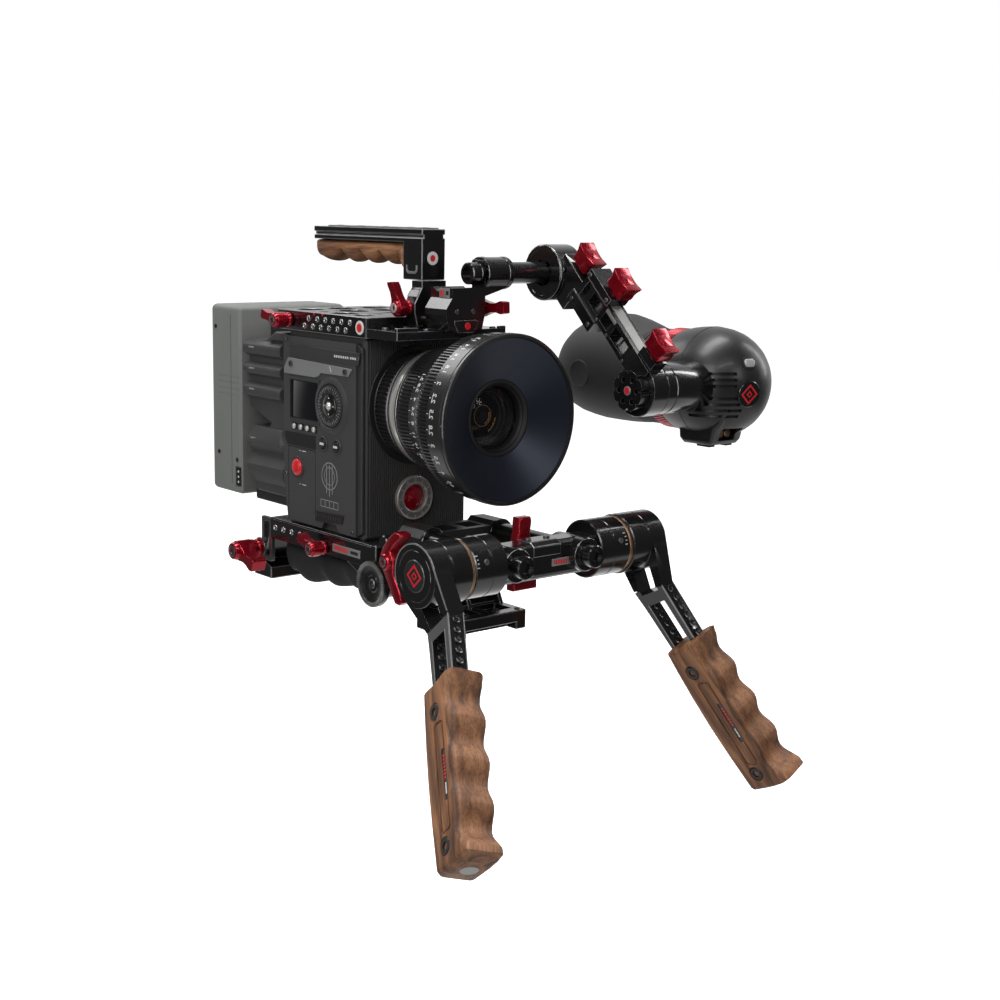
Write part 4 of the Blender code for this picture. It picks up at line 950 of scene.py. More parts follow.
def lens():
    """The hood and its funnel, glass, focus ring, barrel, iris ring, silver band and mount lock."""
    hood = [(54.5, 0), (56.4, 0.3), (57, 0.9), (57, 2.6), (56.5, 3), (56.5, 3.6), (57, 4), (57, 6.5),
            (46, 6.5), (46, 33), (26.5, 33), (26.5, 13.6), (54, 1.7)]
    piece("hood_shell", turned("Y", CENTRE, hood, 144), LENS_BLACK, "camera", ("lens_hood",))
    funnel = [(53.9, 1.5), (25.6, 12.8), (25.6, 14.2), (53.9, 2.9)]
    piece("hood_funnel", turned("Y", CENTRE, funnel, 144), FUNNEL)
    retainer = [(25.8, 12.4), (24.6, 12), (23.6, 12.6), (22.6, 13.6), (22.4, 14.6), (21.6, 15.2), (21.2, 16.2),
                (21.2, 20), (25.8, 20)]
    piece("front_retainer", turned("Y", CENTRE, retainer, 96), TUNNEL)
    glass = [(0, 16.4), (8, 16.9), (15, 18.2), (21.2, 20.4), (24, 21), (24, 22.4), (20, 21.6),
             (14, 20.4), (7, 19.3), (0, 18.9)]
    piece("front_element", turned("Y", CENTRE, glass, 96), LENS_GLASS, "camera", ("lens_glass",))
    tunnel = [(26, 22.5), (21, 22.5), (20, 24.5), (18.6, 24.9), (18.2, 27), (16.8, 27.4), (16.4, 29.5),
              (15.2, 30), (14.8, 33), (26, 33)]
    piece("lens_tunnel", turned("Y", CENTRE, tunnel, 96), TUNNEL)
    middle = [(0, 29), (6, 29.4), (11, 30.6), (15, 32.4), (15, 33.2), (0, 33.2)]
    piece("inner_element", turned("Y", CENTRE, middle, 64), AMBER)
    iris = [(0, 28.7), (3.2, 28.75), (3.2, 28.9), (0, 28.9)]
    # a ring at the element's edge, and three amber arcs that are painted reflections in the glass
    rings = [hoop("Y", CENTRE, 7, 7.4, 29.2, 29.7, 0.1, 64)]
    for inner, outer, start, sweep, level in ((10.8, 12.6, 140, 62, 30.3), (5.2, 6, 290, 90, 29.2),
                                              (12.6, 13.2, 300, 50, 30.9)):
        arc = circle(CENTRE, outer, 16, math.radians(start), math.radians(sweep))
        arc += circle(CENTRE, inner, 16, math.radians(start), math.radians(sweep))[::-1]
        rings.append(prism("Y", arc, level, level + 0.5))
    piece("inner_element_ring_and_painted_reflections", merge(*rings), AMBER_EDGE_AND_REFLECTION)
    piece("inner_stop", turned("Y", CENTRE, iris, 48), SCREEN)
    dots = [wrapped(block((-0.2, 0.2), (-0.5, 0.5), (-0.1, 0.1)), 57, 1.8, math.tau * k / 12) for k in range(12)]
    piece("hood_rim_marks", merge(*dots), PRINT)

    scale = [(46.3, 6.8), (56, 6.8), (56.3, 7.1), (56.3, 18.2), (55.9, 18.6), (46.3, 18.6)]
    piece("focus_scale_band", turned("Y", CENTRE, scale, 144), LENS_BLACK, "focus_ring", ("focus_ring",))
    gear = toothed("Y", CENTRE, 46.3, 54.8, 19, 31, 134, 1.5, 0.3)
    piece("focus_gear", gear, LENS_BLACK, "focus_ring")
    piece("focus_rear_lip", hoop("Y", CENTRE, 46.3, 53, 31, 33, 0.8, 128), LENS_BLACK, "focus_ring")
    marks = []
    values = ("1", "1.2", "1.4", "1.6", "1.8", "2", "2.2", "2.5", "2.8", "3", "3.5", "4", "4.5", "5", "6", "7", "8",
              "10", "12", "15", "20", "30", "50")
    for index, value in enumerate(values):
        angle = math.radians(100 + 10.5 * index)
        numeral = lettering(value, 5.4)
        moved(numeral, Matrix.Rotation(math.pi, 4, "Z"))
        marks.append(wrapped(numeral, 56.3, 13.4, angle))
        marks.append(wrapped(block((-0.25, 0.25), (-0.8, 0.8), (-0.05, 0.08)), 56.3, 17.2, angle))
    piece("focus_numerals", merge(*marks), WHITE, "focus_ring")

    barrel = [(14, 33.3), (50, 33.3), (50.2, 34.2), (49.6, 36), (46.4, 50), (45.4, 51.8), (39.9, 52),
              (39.9, 66), (42.6, 66), (43, 66.5), (43, 68.6), (42.4, 69), (40, 69.4), (39.4, 79.3),
              (38, 80), (38, 87), (37.5, 87.7), (30, 87.7), (30, 101), (23.7, 101.7), (23.7, 118),
              (14, 118)]
    piece("lens_barrel_body", turned("Y", CENTRE, barrel, 128), LENS_BLACK, "camera", ("lens_barrel",))
    band = [(38, 69.2), (41.4, 69.3), (41.8, 70.4), (41.3, 71.2), (41.5, 74.5), (41.1, 79), (40.4, 80.4),
            (39.6, 80.9), (39.2, 85.2), (38, 85.6)]
    piece("silver_band", turned("Y", CENTRE, band, 128), BAND)
    rings = [hoop("Y", CENTRE, 38, 41.65, 71.6, 72.4, 0.1, 128),
             hoop("Y", CENTRE, 38, 41.2, 80, 80.9, 0.1, 128)]
    piece("silver_band_grooves", merge(*rings), BLACK_DULL)
    lines = [hoop("Y", CENTRE, 48, 50.32, 33.9, 34.5, 0.05, 128),
             hoop("Y", CENTRE, 46, 49.7, 36, 36.5, 0.05, 128)]
    piece("barrel_lines", merge(*lines), BLUE)
    marks = []
    for index, value in enumerate(("2.1", "2.8", "4", "5.6", "8", "11", "16", "22")):
        angle = math.radians(146 + 9.5 * index)
        numeral = lettering(value, 5)
        moved(numeral, Matrix.Rotation(math.pi, 4, "Z"))
        marks.append(wrapped(numeral, 48.05, 43.4, angle, 0.24))
        marks.append(wrapped(block((-0.2, 0.2), (-1.2, 1.2), (-0.05, 0.1)), 47, 48.4, angle, 0.24))
    for index in range(30):
        angle = math.radians(104 + 6 * index)
        marks.append(wrapped(block((-0.2, 0.2), (-1, 1), (-0.05, 0.1)), 49.5, 37.6, angle, 0.24))
    piece("iris_numerals", merge(*marks), WHITE)
    piece("iris_gear", toothed("Y", CENTRE, 40.3, 44.5, 52.3, 65.7, 108, 1.4, 0.3), LENS_BLACK, "iris_ring",
          ("iris_ring",))
    lock = toothed("Y", CENTRE, 30.3, 38, 88, 99.6, 76, 1.5, 0.3)
    piece("mount_lock_ribs", lock, LENS_BLACK, "lens_lock", ("mount_lock_ring",))
    piece("mount_lock_collar", hoop("Y", CENTRE, 30.3, 38.2, 99.6, 101, 0.4, 96), BLACK_DULL, "lens_lock")
    flange = [(30, 100.9), (41.5, 101.2), (42, 101.6), (42, 103.4), (30, 103.4)]
    piece("mount_flange", turned("Y", CENTRE, flange, 96), BLACK_DULL)


# ---------------------------------------------------------------- top handle

def disc_mark(name, place, radius, body):
    """A plain round badge: a thin white disc with a red middle."""
    base = hoop("Z", (0, 0), radius * 0.5, radius, 0, 0.5, 0.15, 40)
    piece(name, moved(base, place), WHITE, body)
    middle = drum("Z", (0, 0), radius * 0.5, 0, 0.42, 0.1, 36)
    piece(f"{name}_centre", moved(middle, place), RED_PAINT, body)


def diamonds(outer, inner, low, high):
    """Two diamond outlines, one in the other."""
    sizes = ((outer - 1.8, outer), (inner - 1.2, inner))
    return merge(*[hoop("Z", (0, 0), *limits, low, high, 0.1, 4) for limits in sizes])


def label(name, place, length, height, body):
    """A small plain plate with a red bar and a dark bar."""
    piece(name, moved(pillow("Z", rounded((-length / 2, length / 2), (-height / 2, height / 2), 0.5, 3), 0, 0.4,
                             0.15, 2), place), PALE_METAL_AND_HIGHLIGHT, body)
    red = [block((-length * 0.42 + 1.5 * k, -length * 0.42 + 1.5 * k + 1), (-height * 0.28, height * 0.28),
                 (0.3, 0.46)) for k in range(max(1, int(length * 0.5 / 1.5)))]
    piece(f"{name}_bars", moved(merge(*red), place), RED_PAINT, body)
    dark = block((length * 0.16, length * 0.42), (-height * 0.2, height * 0.2), (0.3, 0.46))
    piece(f"{name}_end", moved(dark, place), BLACK_DULL, body)


def handle():
    """The top handle: clamp, post and bar, with a finger grip of walnut under the bar."""
    dress("handle_clamp", BLACK, 0.6)
    dress("handle_frame", BLACK, 0.7)
    outline = [(106.3, 112.5), (106.3, 91.5), (107.6, 92.6), (109.4, 96), (111.6, 99.6)]
    for centre, half in ((124, 11.8), (148, 11.8), (171.5, 11.4), (197.5, 14)):
        for part in (-0.96, -0.8, -0.6, -0.4, -0.2, 0, 0.2, 0.4, 0.6, 0.8, 0.96):
            rise = 6.4 * part * part + 3.2 * part ** 6
            outline.append((centre + half * part, 96.9 + (rise if part < 0 or centre < 190 else 0.3 * rise)))
    outline += [(214.6, 100), (216.8, 102.5), (218, 106), (218, 112.5)]
    wood = pillow("X", outline, -9.6, 9.6, 8.4, 8, ((112, 107.2), (210, 107.6)))
    piece("handle_grip_wood", wood, WOOD, "handle", ("handle_wood",), smooth=50,
          grain=frame_at((0, 160, 105), (0, 1, 0), (0, 0, 1)))
    disc_mark("handle_disc", facing((-1, 84.5, 102.3), (0, -1, 0)), 4.6, "handle")
    frame_ring = cut(pillow("X", rounded((89.5, 102), (91.5, 106.5), 3), -10.5, -9.7, 0.3, 2),
                     prism("X", rounded((90.8, 100.7), (93.4, 106.2), 2), -20, 0),
                     block((-20, 0), (80, 110), (97.5, 120)))
    piece("handle_post_pocket", frame_ring, PALE_METAL_AND_HIGHLIGHT, "handle")
    tops = [(0, y, 122.8) for y in (94, 110, 140, 170, 196)]
    piece("handle_top_screws", screws(tops, (0, 0, 1), 2.6, 0.3), STEEL, "handle")
    # the rail's top is light grey as a painted sheen, with rub marks
    rail = pillow("Z", rounded((-7.6, 7.6), (88, 202), 1.5, 3), 121.9, 122.9, 0.4, 2)
    piece("handle_top_rail", rail, RAIL_TOP_WEAR_AND_SHEEN, "handle")
    # a thin pale strip on the clamp's slanted face: a painted highlight
    shine = prism("Y", [(-14.2, 76), (-11.7, 80.4), (-12.3, 80.8), (-14.8, 76.4)], 83.9, 95)
    piece("handle_clamp_painted_highlight", shine, PALE_METAL_AND_HIGHLIGHT, "handle", bevel=0.2)
    lever("handle_lever_grip", "handle_lever_turn", (-1, 0, 0), (0, 0.1, 1), 13, 17.5, 6.6, 6,
          "handle_lever", "handle_lever", SILVER, 0.35)
    piece("handle_lever_collar", drum("X", (89.5, 69), 4.4, -16.9, -16.3, 0.1, 32), STEEL, "handle")


# ---------------------------------------------------------------- finder mount and arm

FINDER_ROD = tuple(from_row(JOINTS["finder_arm_swing"]["pos_m"]))[1:]
FINDER_AXIS = tuple(from_row(JOINTS["finder_tilt"]["pos_m"]))[1:]
ARM_LENGTH, ARM_SLOPE = 116.5, math.radians(225.6)
ARM_DOWN = Vector((0, math.cos(ARM_SLOPE), math.sin(ARM_SLOPE)))
ARM_FRONT = Vector((0, math.sin(ARM_SLOPE), -math.cos(ARM_SLOPE)))
ARM_FRAME = frame_at(Vector((0, *FINDER_AXIS)) - ARM_DOWN * ARM_LENGTH, ARM_DOWN, ARM_FRONT)


def finder_mount():
    """The clamp of the finder arm, its lever, and the rod in its sleeve."""
    dress("finder_mount", BLACK, 0.7)
    lever("finder_mount_lever_grip", "finder_mount_lever_turn", (1, 0, 0), (0, -1, 0.06), 12, 25, 9, 6,
          "finder_mount_lever", "finder_mount_lever")
    label("finder_mount_label", frame_at((-12, 56.5, 80.4), (0, -1, 0), (0, 0, 1)), 11, 6.6, "finder_mount")
    sleeve = [(7.9, 20), (10.6, 20), (11.3, 20.7), (11.3, 23.4), (10.9, 23.8), (10.9, 38.8), (11.3, 39.2),
              (11.3, 42.3), (10.6, 43), (7.9, 43)]
    piece("mount_sleeve_shell", turned("X", FINDER_ROD, sleeve, 72), BLACK, "finder_mount")
    heads = [(6, 48.3, 68), (-8, 48.3, 68)]
    piece("mount_screws", screws(heads, (0, -1, 0), 1.7, 0.6), STEEL, "finder_mount")
    tube = [(0, 13.3), (5, 13.3), (5, 9.8), (6.9, 9.8), (7.5, 10.4), (7.5, 16.6), (7.2, 16.9), (7.2, 17.5),
            (7.5, 17.8), (7.5, 77.7), (6, 77.7), (6, 92), (0, 92)]
    piece("finder_rod_tube", turned("X", FINDER_ROD, tube, 64), BLACK, "finder_rod", ("finder_rod",))


def wing_knob(name):
    """A red knob whose two wings are hollowed on their long sides, on a short stem."""
    place = frame_at(from_row(JOINTS[f"{name}_turn"]["pos_m"]), ARM_DOWN, (1, 0, 0))
    outline = [(-8, 1.8), (8, 1.8), (8.6, 4), (8.4, 6.6), (8.8, 9.4), (9.6, 12), (10.1, 14.4), (8.4, 14.3),
               (5.6, 13.7), (3.2, 13.4), (0, 13.3), (-3.2, 13.4), (-5.6, 13.7), (-8.4, 14.3), (-10.1, 14.4),
               (-9.6, 12), (-8.8, 9.4), (-8.4, 6.6), (-8.6, 4)]
    wings = pillow("Y", outline, -6.9, 6.9, 0.9, 3)
    for vert in wings.verts:
        vert.co.y *= 0.9 + 0.1 * ((vert.co.z - 7) / 7) ** 2
    stem = [(0, 0), (4.4, 0), (4.4, 1.2), (5.8, 1.6), (5.8, 4.6), (5, 5.4), (0, 5.4)]
    piece(f"{name}_wings", merge(wings, turned("Z", (0, 0), stem, 40)), RED, name, (name,), place=place)
    dent = pillow("Z", rounded((-4.6, 4.6), (-3.6, 3.6), 1.2), 13, 13.7, 0.3, 2)
    piece(f"{name}_pad", dent, RED, name, place=place)


def finder_arm():
    """The drum, the two sliding halves of the arm with their knobs, and the tilt lock."""
    dress("finder_arm_outer", BLACK, 0.6)
    dress("finder_arm_inner", BLACK, 0.5)
    shell = [(6.3, 78), (9.4, 78), (9.8, 78.8), (15.6, 78.8), (16.2, 77.8), (18.6, 77.8), (19.7, 78.8),
             (19.7, 99.2), (18.8, 100.1), (15, 100.1), (14.6, 99.4), (0, 99.4), (0, 92.6), (6.3, 92.6)]
    piece("arm_drum_shell", turned("X", FINDER_ROD, shell, 96), BLACK, "finder_arm")
    piece("arm_drum_screw", screws([(99.4, *FINDER_ROD)], (1, 0, 0), 4.2, 1.6), STEEL, "finder_arm")
    rails = []
    for along, across in (((33, 59), (2.2, 3.6)), ((32, 58), (18.6, 19.8))):
        rails.append(block(along, across, (-98.2, -79.8)))
    piece("arm_slide_linings", moved(merge(*rails), ARM_FRAME), STEEL, "finder_arm", bevel=0.3)
    heads = [ARM_FRAME @ Vector((s, b, -79.9))
             for s, b in ((33, 22.3), (56, 22.3), (32, -2.6), (56, -2.6), (12, 4))]
    piece("outer_arm_screws", screws(heads, (-1, 0, 0), 1.6, 0.7), STEEL, "finder_arm")
    # a pale band along the inner arm's edge: a painted highlight
    edge = block((39, 99), (18.6, 19.5), (-93.4, -85))
    piece("inner_arm_painted_highlight", moved(edge, ARM_FRAME), PALE_METAL_AND_HIGHLIGHT, "inner_arm", bevel=0.35)
    label("inner_arm_label", frame_at(ARM_FRAME @ Vector((66, 16.7, -81.9)), -ARM_DOWN, ARM_FRONT), 13, 3,
          "inner_arm")
    heads = [ARM_FRAME @ Vector((s, 4.9, -81.9)) for s in (58, 72, 95)]
    piece("inner_arm_screws", screws(heads, (-1, 0, 0), 1.2, 0.6), STEEL, "inner_arm")
    ribs = [block((s, s + 1.4), (4.5, 17.5), (-96.9, -96.3)) for s in (46, 52, 60, 68, 76, 84)]
    piece("inner_arm_scale", moved(merge(*ribs), ARM_FRAME), STEEL, "inner_arm")
    hub = [(14.1, 84.1), (17.6, 84.1), (18.2, 84.8), (18.2, 97.4), (17.6, 98), (14.1, 98)]
    piece("inner_hub_shell", turned("X", FINDER_AXIS, hub, 96), BLACK, "inner_arm")
    for number in (1, 2, 3):
        wing_knob(f"arm_knob_{number}")
    outline = []
    for step in range(96):
        angle = math.tau * step / 96
        notch = max(0, math.cos(8 * angle)) ** 3
        outline.append((FINDER_AXIS[0] + (13.7 - 2 * notch) * math.cos(angle),
                        FINDER_AXIS[1] + (13.7 - 2 * notch) * math.sin(angle)))
    holes = []
    for step in range(6):
        angle = math.tau * step / 6
        centre = (FINDER_AXIS[0] + 8.2 * math.cos(angle), FINDER_AXIS[1] + 8.2 * math.sin(angle))
        holes.append(drum("X", centre, 2, 70, 80.5, 0.1, 24))
    disc = cut(prism("X", outline, 76.5, 84), merge(*holes))
    piece("tilt_lock_star", disc, BLACK, "tilt_lock", ("tilt_lock_disc",), 0.5)
    piece("tilt_lock_centre", drum("X", FINDER_AXIS, 2.4, 75.9, 76.8, 0.2, 32), RED_PAINT, "tilt_lock")
    piece("tilt_lock_rim", hoop("X", FINDER_AXIS, 2.4, 3.1, 76, 76.8, 0.1, 32), PALE_METAL_AND_HIGHLIGHT, "tilt_lock")


# ---------------------------------------------------------------- finder

FINDER = (172, 18)
BULB = [(0, -60.5), (6.5, -60.1), (12.5, -58.8), (18, -56.7), (23, -54), (27.5, -50.5), (31.5, -46),
        (34.6, -41), (37, -35.5), (38.6, -29), (39.3, -22), (39.2, -15.5), (38.6, -9), (37.7, -3),
        (36.5, 2)]


def bulb_y(x, z):
    """The front surface of the finder body above a point of its front view."""
    reach = math.hypot(x - FINDER[0], z - FINDER[1])
    for (r0, y0), (r1, y1) in zip(BULB, BULB[1:]):
        if r0 <= reach <= r1:
            return y0 + (y1 - y0) * (reach - r0) / (r1 - r0)
    return BULB[-1][1]


def bulb_place(x, z):
    """A matrix on the front surface whose Z axis leaves it at a right angle."""
    step = 0.8
    slope_x = (bulb_y(x + step, z) - bulb_y(x - step, z)) / (2 * step)
    slope_z = (bulb_y(x, z + step) - bulb_y(x, z - step)) / (2 * step)
    normal = Vector((slope_x, -1, slope_z)).normalized()
    across = Vector((1, slope_x, 0)).normalized()
    return frame_at((x, bulb_y(x, z), z), across, normal.cross(across))


def groove(z, start, end, depth=1.9, width=2.2):
    """A horizontal groove that follows the finder body round its left side."""
    outer, inner = [], []
    for step in range(17):
        y = start + (end - start) * step / 16
        radius = 0
        for (r0, y0), (r1, y1) in zip(BULB, BULB[1:]):
            if y0 <= y <= y1:
                radius = r0 + (r1 - r0) * (y - y0) / (y1 - y0)
        lift = max(0.5, radius ** 2 - (z + 0.5 * width - FINDER[1]) ** 2)
        x = FINDER[0] - math.sqrt(lift)
        lean = Vector((FINDER[0] - x, -22 - y)).normalized()
        inner.append((x + depth * lean.x, y + depth * lean.y))
        outer.append((x - 4 * lean.x, y - 4 * lean.y))
    return prism("Z", inner + outer[::-1], z, z + width)


def finder():
    """The bulb-shaped finder, its shaft, focus ring and rubber eyecup."""
    shell = BULB + [(35.6, 2.6), (31, 2.6), (31, 34), (0, 34)]
    cuts = [groove(z, start, -28)
            for z, start in ((26.5, -56.2), (22.2, -57), (17.9, -57.2), (9.3, -57.2), (5, -57), (0.7, -56.2),
                             (-3.6, -54))]
    port = moved(drum("Z", (0, 0), 2.6, -5, 6, 0.1, 24), facing((136.4, -40.3, 14.2), (-0.86, -0.5, -0.05)))
    cuts += [port, block((159, 175), (-60, -32), (-21, -12))]
    body = cut(turned("Y", FINDER, shell, 128), *cuts)
    piece("finder_bulb", body, BULB_PAINT, "finder", ("finder_body",))
    belly = [(-52, 2), (-47, -8), (-41, -14), (-38.5, -22), (-36, -24.5), (-12, -25),
             (-8, -22), (-6, -8), (-6, 10), (-40, 10)]
    box = cut(pillow("X", belly, 151, 183, 3.5, 5, ((-36, -6), (-18, -8))),
              block((159, 175), (-60, -32), (-21.5, -11.5)))
    piece("finder_socket", box, BULB_PAINT, "finder")
    plugs = merge(moved(drum("Z", (0, 0), 3.2, 0, 4.5, 0.4, 32), facing((163.4, -32.4, -16.5), (0, -1, 0))),
                  moved(drum("Z", (0, 0), 3.2, 0, 4.5, 0.4, 32), facing((170.8, -32.4, -16.5), (0, -1, 0))))
    piece("finder_port_plugs", plugs, BRONZE, "finder")
    feet = merge(block((155, 161), (-34, -22), (-26.2, -24.6)),
                 block((172, 179), (-34, -22), (-26.2, -24.6)))
    piece("finder_feet", feet, BLACK_DULL, "finder", bevel=0.4)
    shaft = [(0, 84.6), (7.6, 84.6), (8, 85), (8, 98.6), (16.8, 98.6), (17.6, 99.4), (17.6, 106),
             (17.1, 106.4), (17.1, 107.2), (17.6, 107.6), (17.6, 146), (16.8, 147.2), (16.8, 152), (0, 152)]
    piece("finder_shaft_tube", turned("X", FINDER_AXIS, shaft, 96), BLACK, "finder")
    led = pillow("Z", rounded((-4.6, 4.6), (-3, 3), 2.4, 6), -0.6, 1.3, 1, 4)
    piece("finder_led", moved(led, bulb_place(167.2, 34.7)), LED, "finder")
    rim = cut(pillow("Z", rounded((-6, 6), (-4.4, 4.4), 3.4, 6), -0.6, 0.5, 0.3, 2),
              prism("Z", rounded((-4.7, 4.7), (-3.1, 3.1), 2.5, 6), -3, 3))
    piece("finder_led_rim", moved(rim, bulb_place(167.2, 34.7)), BLACK_DULL, "finder")
    place = bulb_place(165, 13.5)
    piece("finder_disc", moved(drum("Z", (0, 0), 9.2, -1.6, 0.7, 0.3, 64), place), BLACK, "finder")
    piece("finder_disc_rings", moved(diamonds(7.2, 2.6, 0.6, 0.9), place), RED_PAINT, "finder")
    piece("finder_seam", hoop("Y", FINDER, 36, 39.5, -20.4, -19.8, 0.1, 128), BLACK_DULL, "finder")
    ring = toothed("Y", FINDER, 31.3, 36.3, 3, 15.5, 90, 0.5, 0.5)
    piece("finder_focus_grip", ring, RED, "finder_focus", ("finder_focus_ring",))
    collar = [(31.3, 16), (34.4, 16)]
    for k in range(5):
        start = 16.6 + 3.2 * k
        collar += [(34.8, start), (34.8, start + 1.7), (33.4, start + 2.1), (33.4, start + 2.8)]
    cup = collar + [(34.6, 33), (35.4, 37), (36.4, 44), (37.4, 54), (38, 66), (37.9, 78),
                    (37, 88), (35, 98.5), (32, 107.5), (28.8, 113.4), (26, 116), (24, 116),
                    (23, 114), (25.8, 108), (29, 100), (31.2, 90), (32, 80), (31.6, 68),
                    (30, 56), (26, 47), (20, 40), (20, 34.3), (31.3, 34.3)]
    cup = turned("Y", FINDER, cup, 128)
    for vert in cup.verts:
        flare = min(1, max(0, (vert.co.y - 34) / 30)) * min(1, (118 - vert.co.y) / 30)
        vert.co.z += 3.2 * flare
        vert.co.x = FINDER[0] + (vert.co.x - FINDER[0]) * (1 + 0.05 * flare)
        vert.co.z = FINDER[1] + (vert.co.z - FINDER[1]) * (1 + 0.05 * flare)
    piece("eyecup_rubber", cup, RUBBER, "eyecup", ("eyecup",), smooth=50)
    badge = [(0, 0.5), (8.8, 0.5), (9.4, 0.8), (9.9, 0.5), (10.2, -2.5), (0, -2.5)]
    place = facing((132.4, 77.5, 17.8), (-1, -0.05, 0))
    piece("eyecup_disc", moved(turned("Z", (0, 0), badge, 64), place), RUBBER, "eyecup", smooth=50)
    piece("eyepiece_glass", turned("Y", FINDER, [(0, 36.5), (12, 35.8), (19.9, 34.4), (0, 34.2)], 64),
          LENS_GLASS, "finder")


# ---------------------------------------------------------------- base

ROD_X, ROD_Z = 30, -85.8


def base():
    """The base plate, rear bracket, rod bridge, foot plate and the two 15 mm rods."""
    dress("base_plate", BLACK, 0.8)
    dress("rear_bracket", BLACK, 0.9)
    dress("rod_bridge", BLACK_DULL, 0.9)
    dress("foot_plate", BLACK, 0.8)
    low, high = node_box("base_plate")[2]
    pits = [(y, 0.5 * (low + high) + 1) for y in (208, 197, 186, 175)]
    cups = [moved(dimple(2.2), facing((side * 50, v, w), (side, 0, 0))) for v, w in pits for side in (-1, 1)]
    piece("base_side_dimples", merge(*cups), BOWL, smooth=70)
    label("base_label", frame_at((-50, 116, -101.5), (0, -1, 0), (0, 0, 1)), 34, 5.6, "camera")
    strips = merge(block((-49.5, 49.5), (81.6, 84.4), (-93.4, -92.3)),
                   block((-50.4, -47), (86, 214), (-94, -92.4)))
    piece("base_edge_strips", strips, BLACK, bevel=0.4)
    heads = [(x, 77, -92.8) for x in (-18, 18)]
    piece("base_top_screws", screws(heads, (0, 0, 1), 3, 1.4), STEEL)
    bolt = [(0, -47.6), (4.2, -47.6), (5, -46.8), (5, -38), (4.6, -37.6), (4.6, -36.6), (5, -36.2),
            (5, -22), (0, -22)]
    piece("bridge_bolt", turned("X", (76.5, -89.2), bolt, 40), BLACK)
    piece("bridge_block", pillow("X", rounded((69, 90), (-93.4, -88), 1.4, 4), -36, -24, 0.8, 3), BLACK)
    rim = cut(prism("X", rounded((214.6, 228.6), (-127, -93.6), 1.2, 3), -49.6, -46.5),
              prism("X", rounded((218.2, 225.4), (-123.4, -97.2), 1, 3), -60, -40))
    piece("bracket_rim", rim, STEEL, bevel=0.5)
    piece("bracket_screws", screws([(-48, 226, -112), (-48, 234.5, -136)], (-1, 0, 0), 2, 0.8), STEEL)
    piece("bridge_screws", screws([(x, 44, z) for x, z in ((-12, -94), (12, -94), (0, -86))],
                                  (0, -1, 0), 2.4, 1), STEEL)
    caps = [hoop("Y", (side * ROD_X, ROD_Z), 7.7, 10.2, 42.4, 44.2, 0.4, 48) for side in (-1, 1)]
    piece("bridge_bore_rims", merge(*caps), BLACK)
    foot_z = -134.6
    piece("foot_screws", screws([(x, 20, foot_z) for x in (-26, 26)], (0, 0, 1), 2, 0.8), STEEL)
    bores = [hoop("Z", (x, 33), 2.2, 3.4, foot_z - 3.9, foot_z - 3.2, 0.2, 32) for x in (-19, -9, 9, 19)]
    piece("foot_bore_rims", merge(*bores), STEEL)
    gussets = [prism("X", [(46.8, -134.8), (46.8, -118), (38.5, -134.8)], x - 1.6, x + 1.6)
               for x in (-28, 0, 28)]
    piece("foot_gussets", merge(*gussets), BLACK, bevel=0.5)
    for name, sign in (("left", -1), ("right", 1)):
        tube = [(0, -50), (4.9, -50), (5.3, -53.5), (6.9, -53.5), (7.5, -52.9), (7.5, -45.6), (7.2, -45.3),
                (7.2, -44.6), (7.5, -44.3), (7.5, 69.7), (0, 69.7)]
        piece(f"rod_tube_{name}", turned("Y", (sign * ROD_X, ROD_Z), tube, 64), BLACK, "camera", (f"rod_{name}",))


def shoulder_pad():
    """A thick moulded pad with rolling lumps underneath, held in a thin black tray."""
    outline = [(104, -109.5), (103.4, -116), (104.5, -122), (107.5, -127)]
    for centre, depth, half in ((121, -133, 13.5), (150, -136, 14.5), (182, -139, 17)):
        for part in (-0.9, -0.65, -0.35, 0, 0.35, 0.65, 0.9):
            outline.append((centre + half * part, depth + 7.5 * part * part))
    outline += [(203.5, -134.6), (209.5, -129.5), (213.2, -122.5), (214, -116), (213.6, -109.5)]
    pad = pillow("X", outline, -41.5, 41.5, 9, 7)
    item = piece("shoulder_pad_foam", pad, RUBBER_PAD, "camera", ("shoulder_pad",), smooth=80)
    remesh = item.modifiers.new("remesh", "REMESH")
    remesh.mode = "VOXEL"
    remesh.voxel_size = 0.0022
    smooth = item.modifiers.new("smooth", "SMOOTH")
    smooth.factor = 0.6
    smooth.iterations = 4
    graph = bpy.context.evaluated_depsgraph_get()
    mesh = bpy.data.meshes.new_from_object(item.evaluated_get(graph))
    item.modifiers.clear()
    old = item.data
    item.data = mesh
    bpy.data.meshes.remove(old)
    base_z = ORIGIN.z - 109.5 * MM
    for vert in mesh.vertices:
        depth = max(0, base_z - vert.co.z)
        ripple = math.sin(vert.co.x * 95) * math.cos(vert.co.y * 60) * 0.0011
        vert.co.z += ripple * min(1, depth / 0.012)
    mesh.shade_smooth()


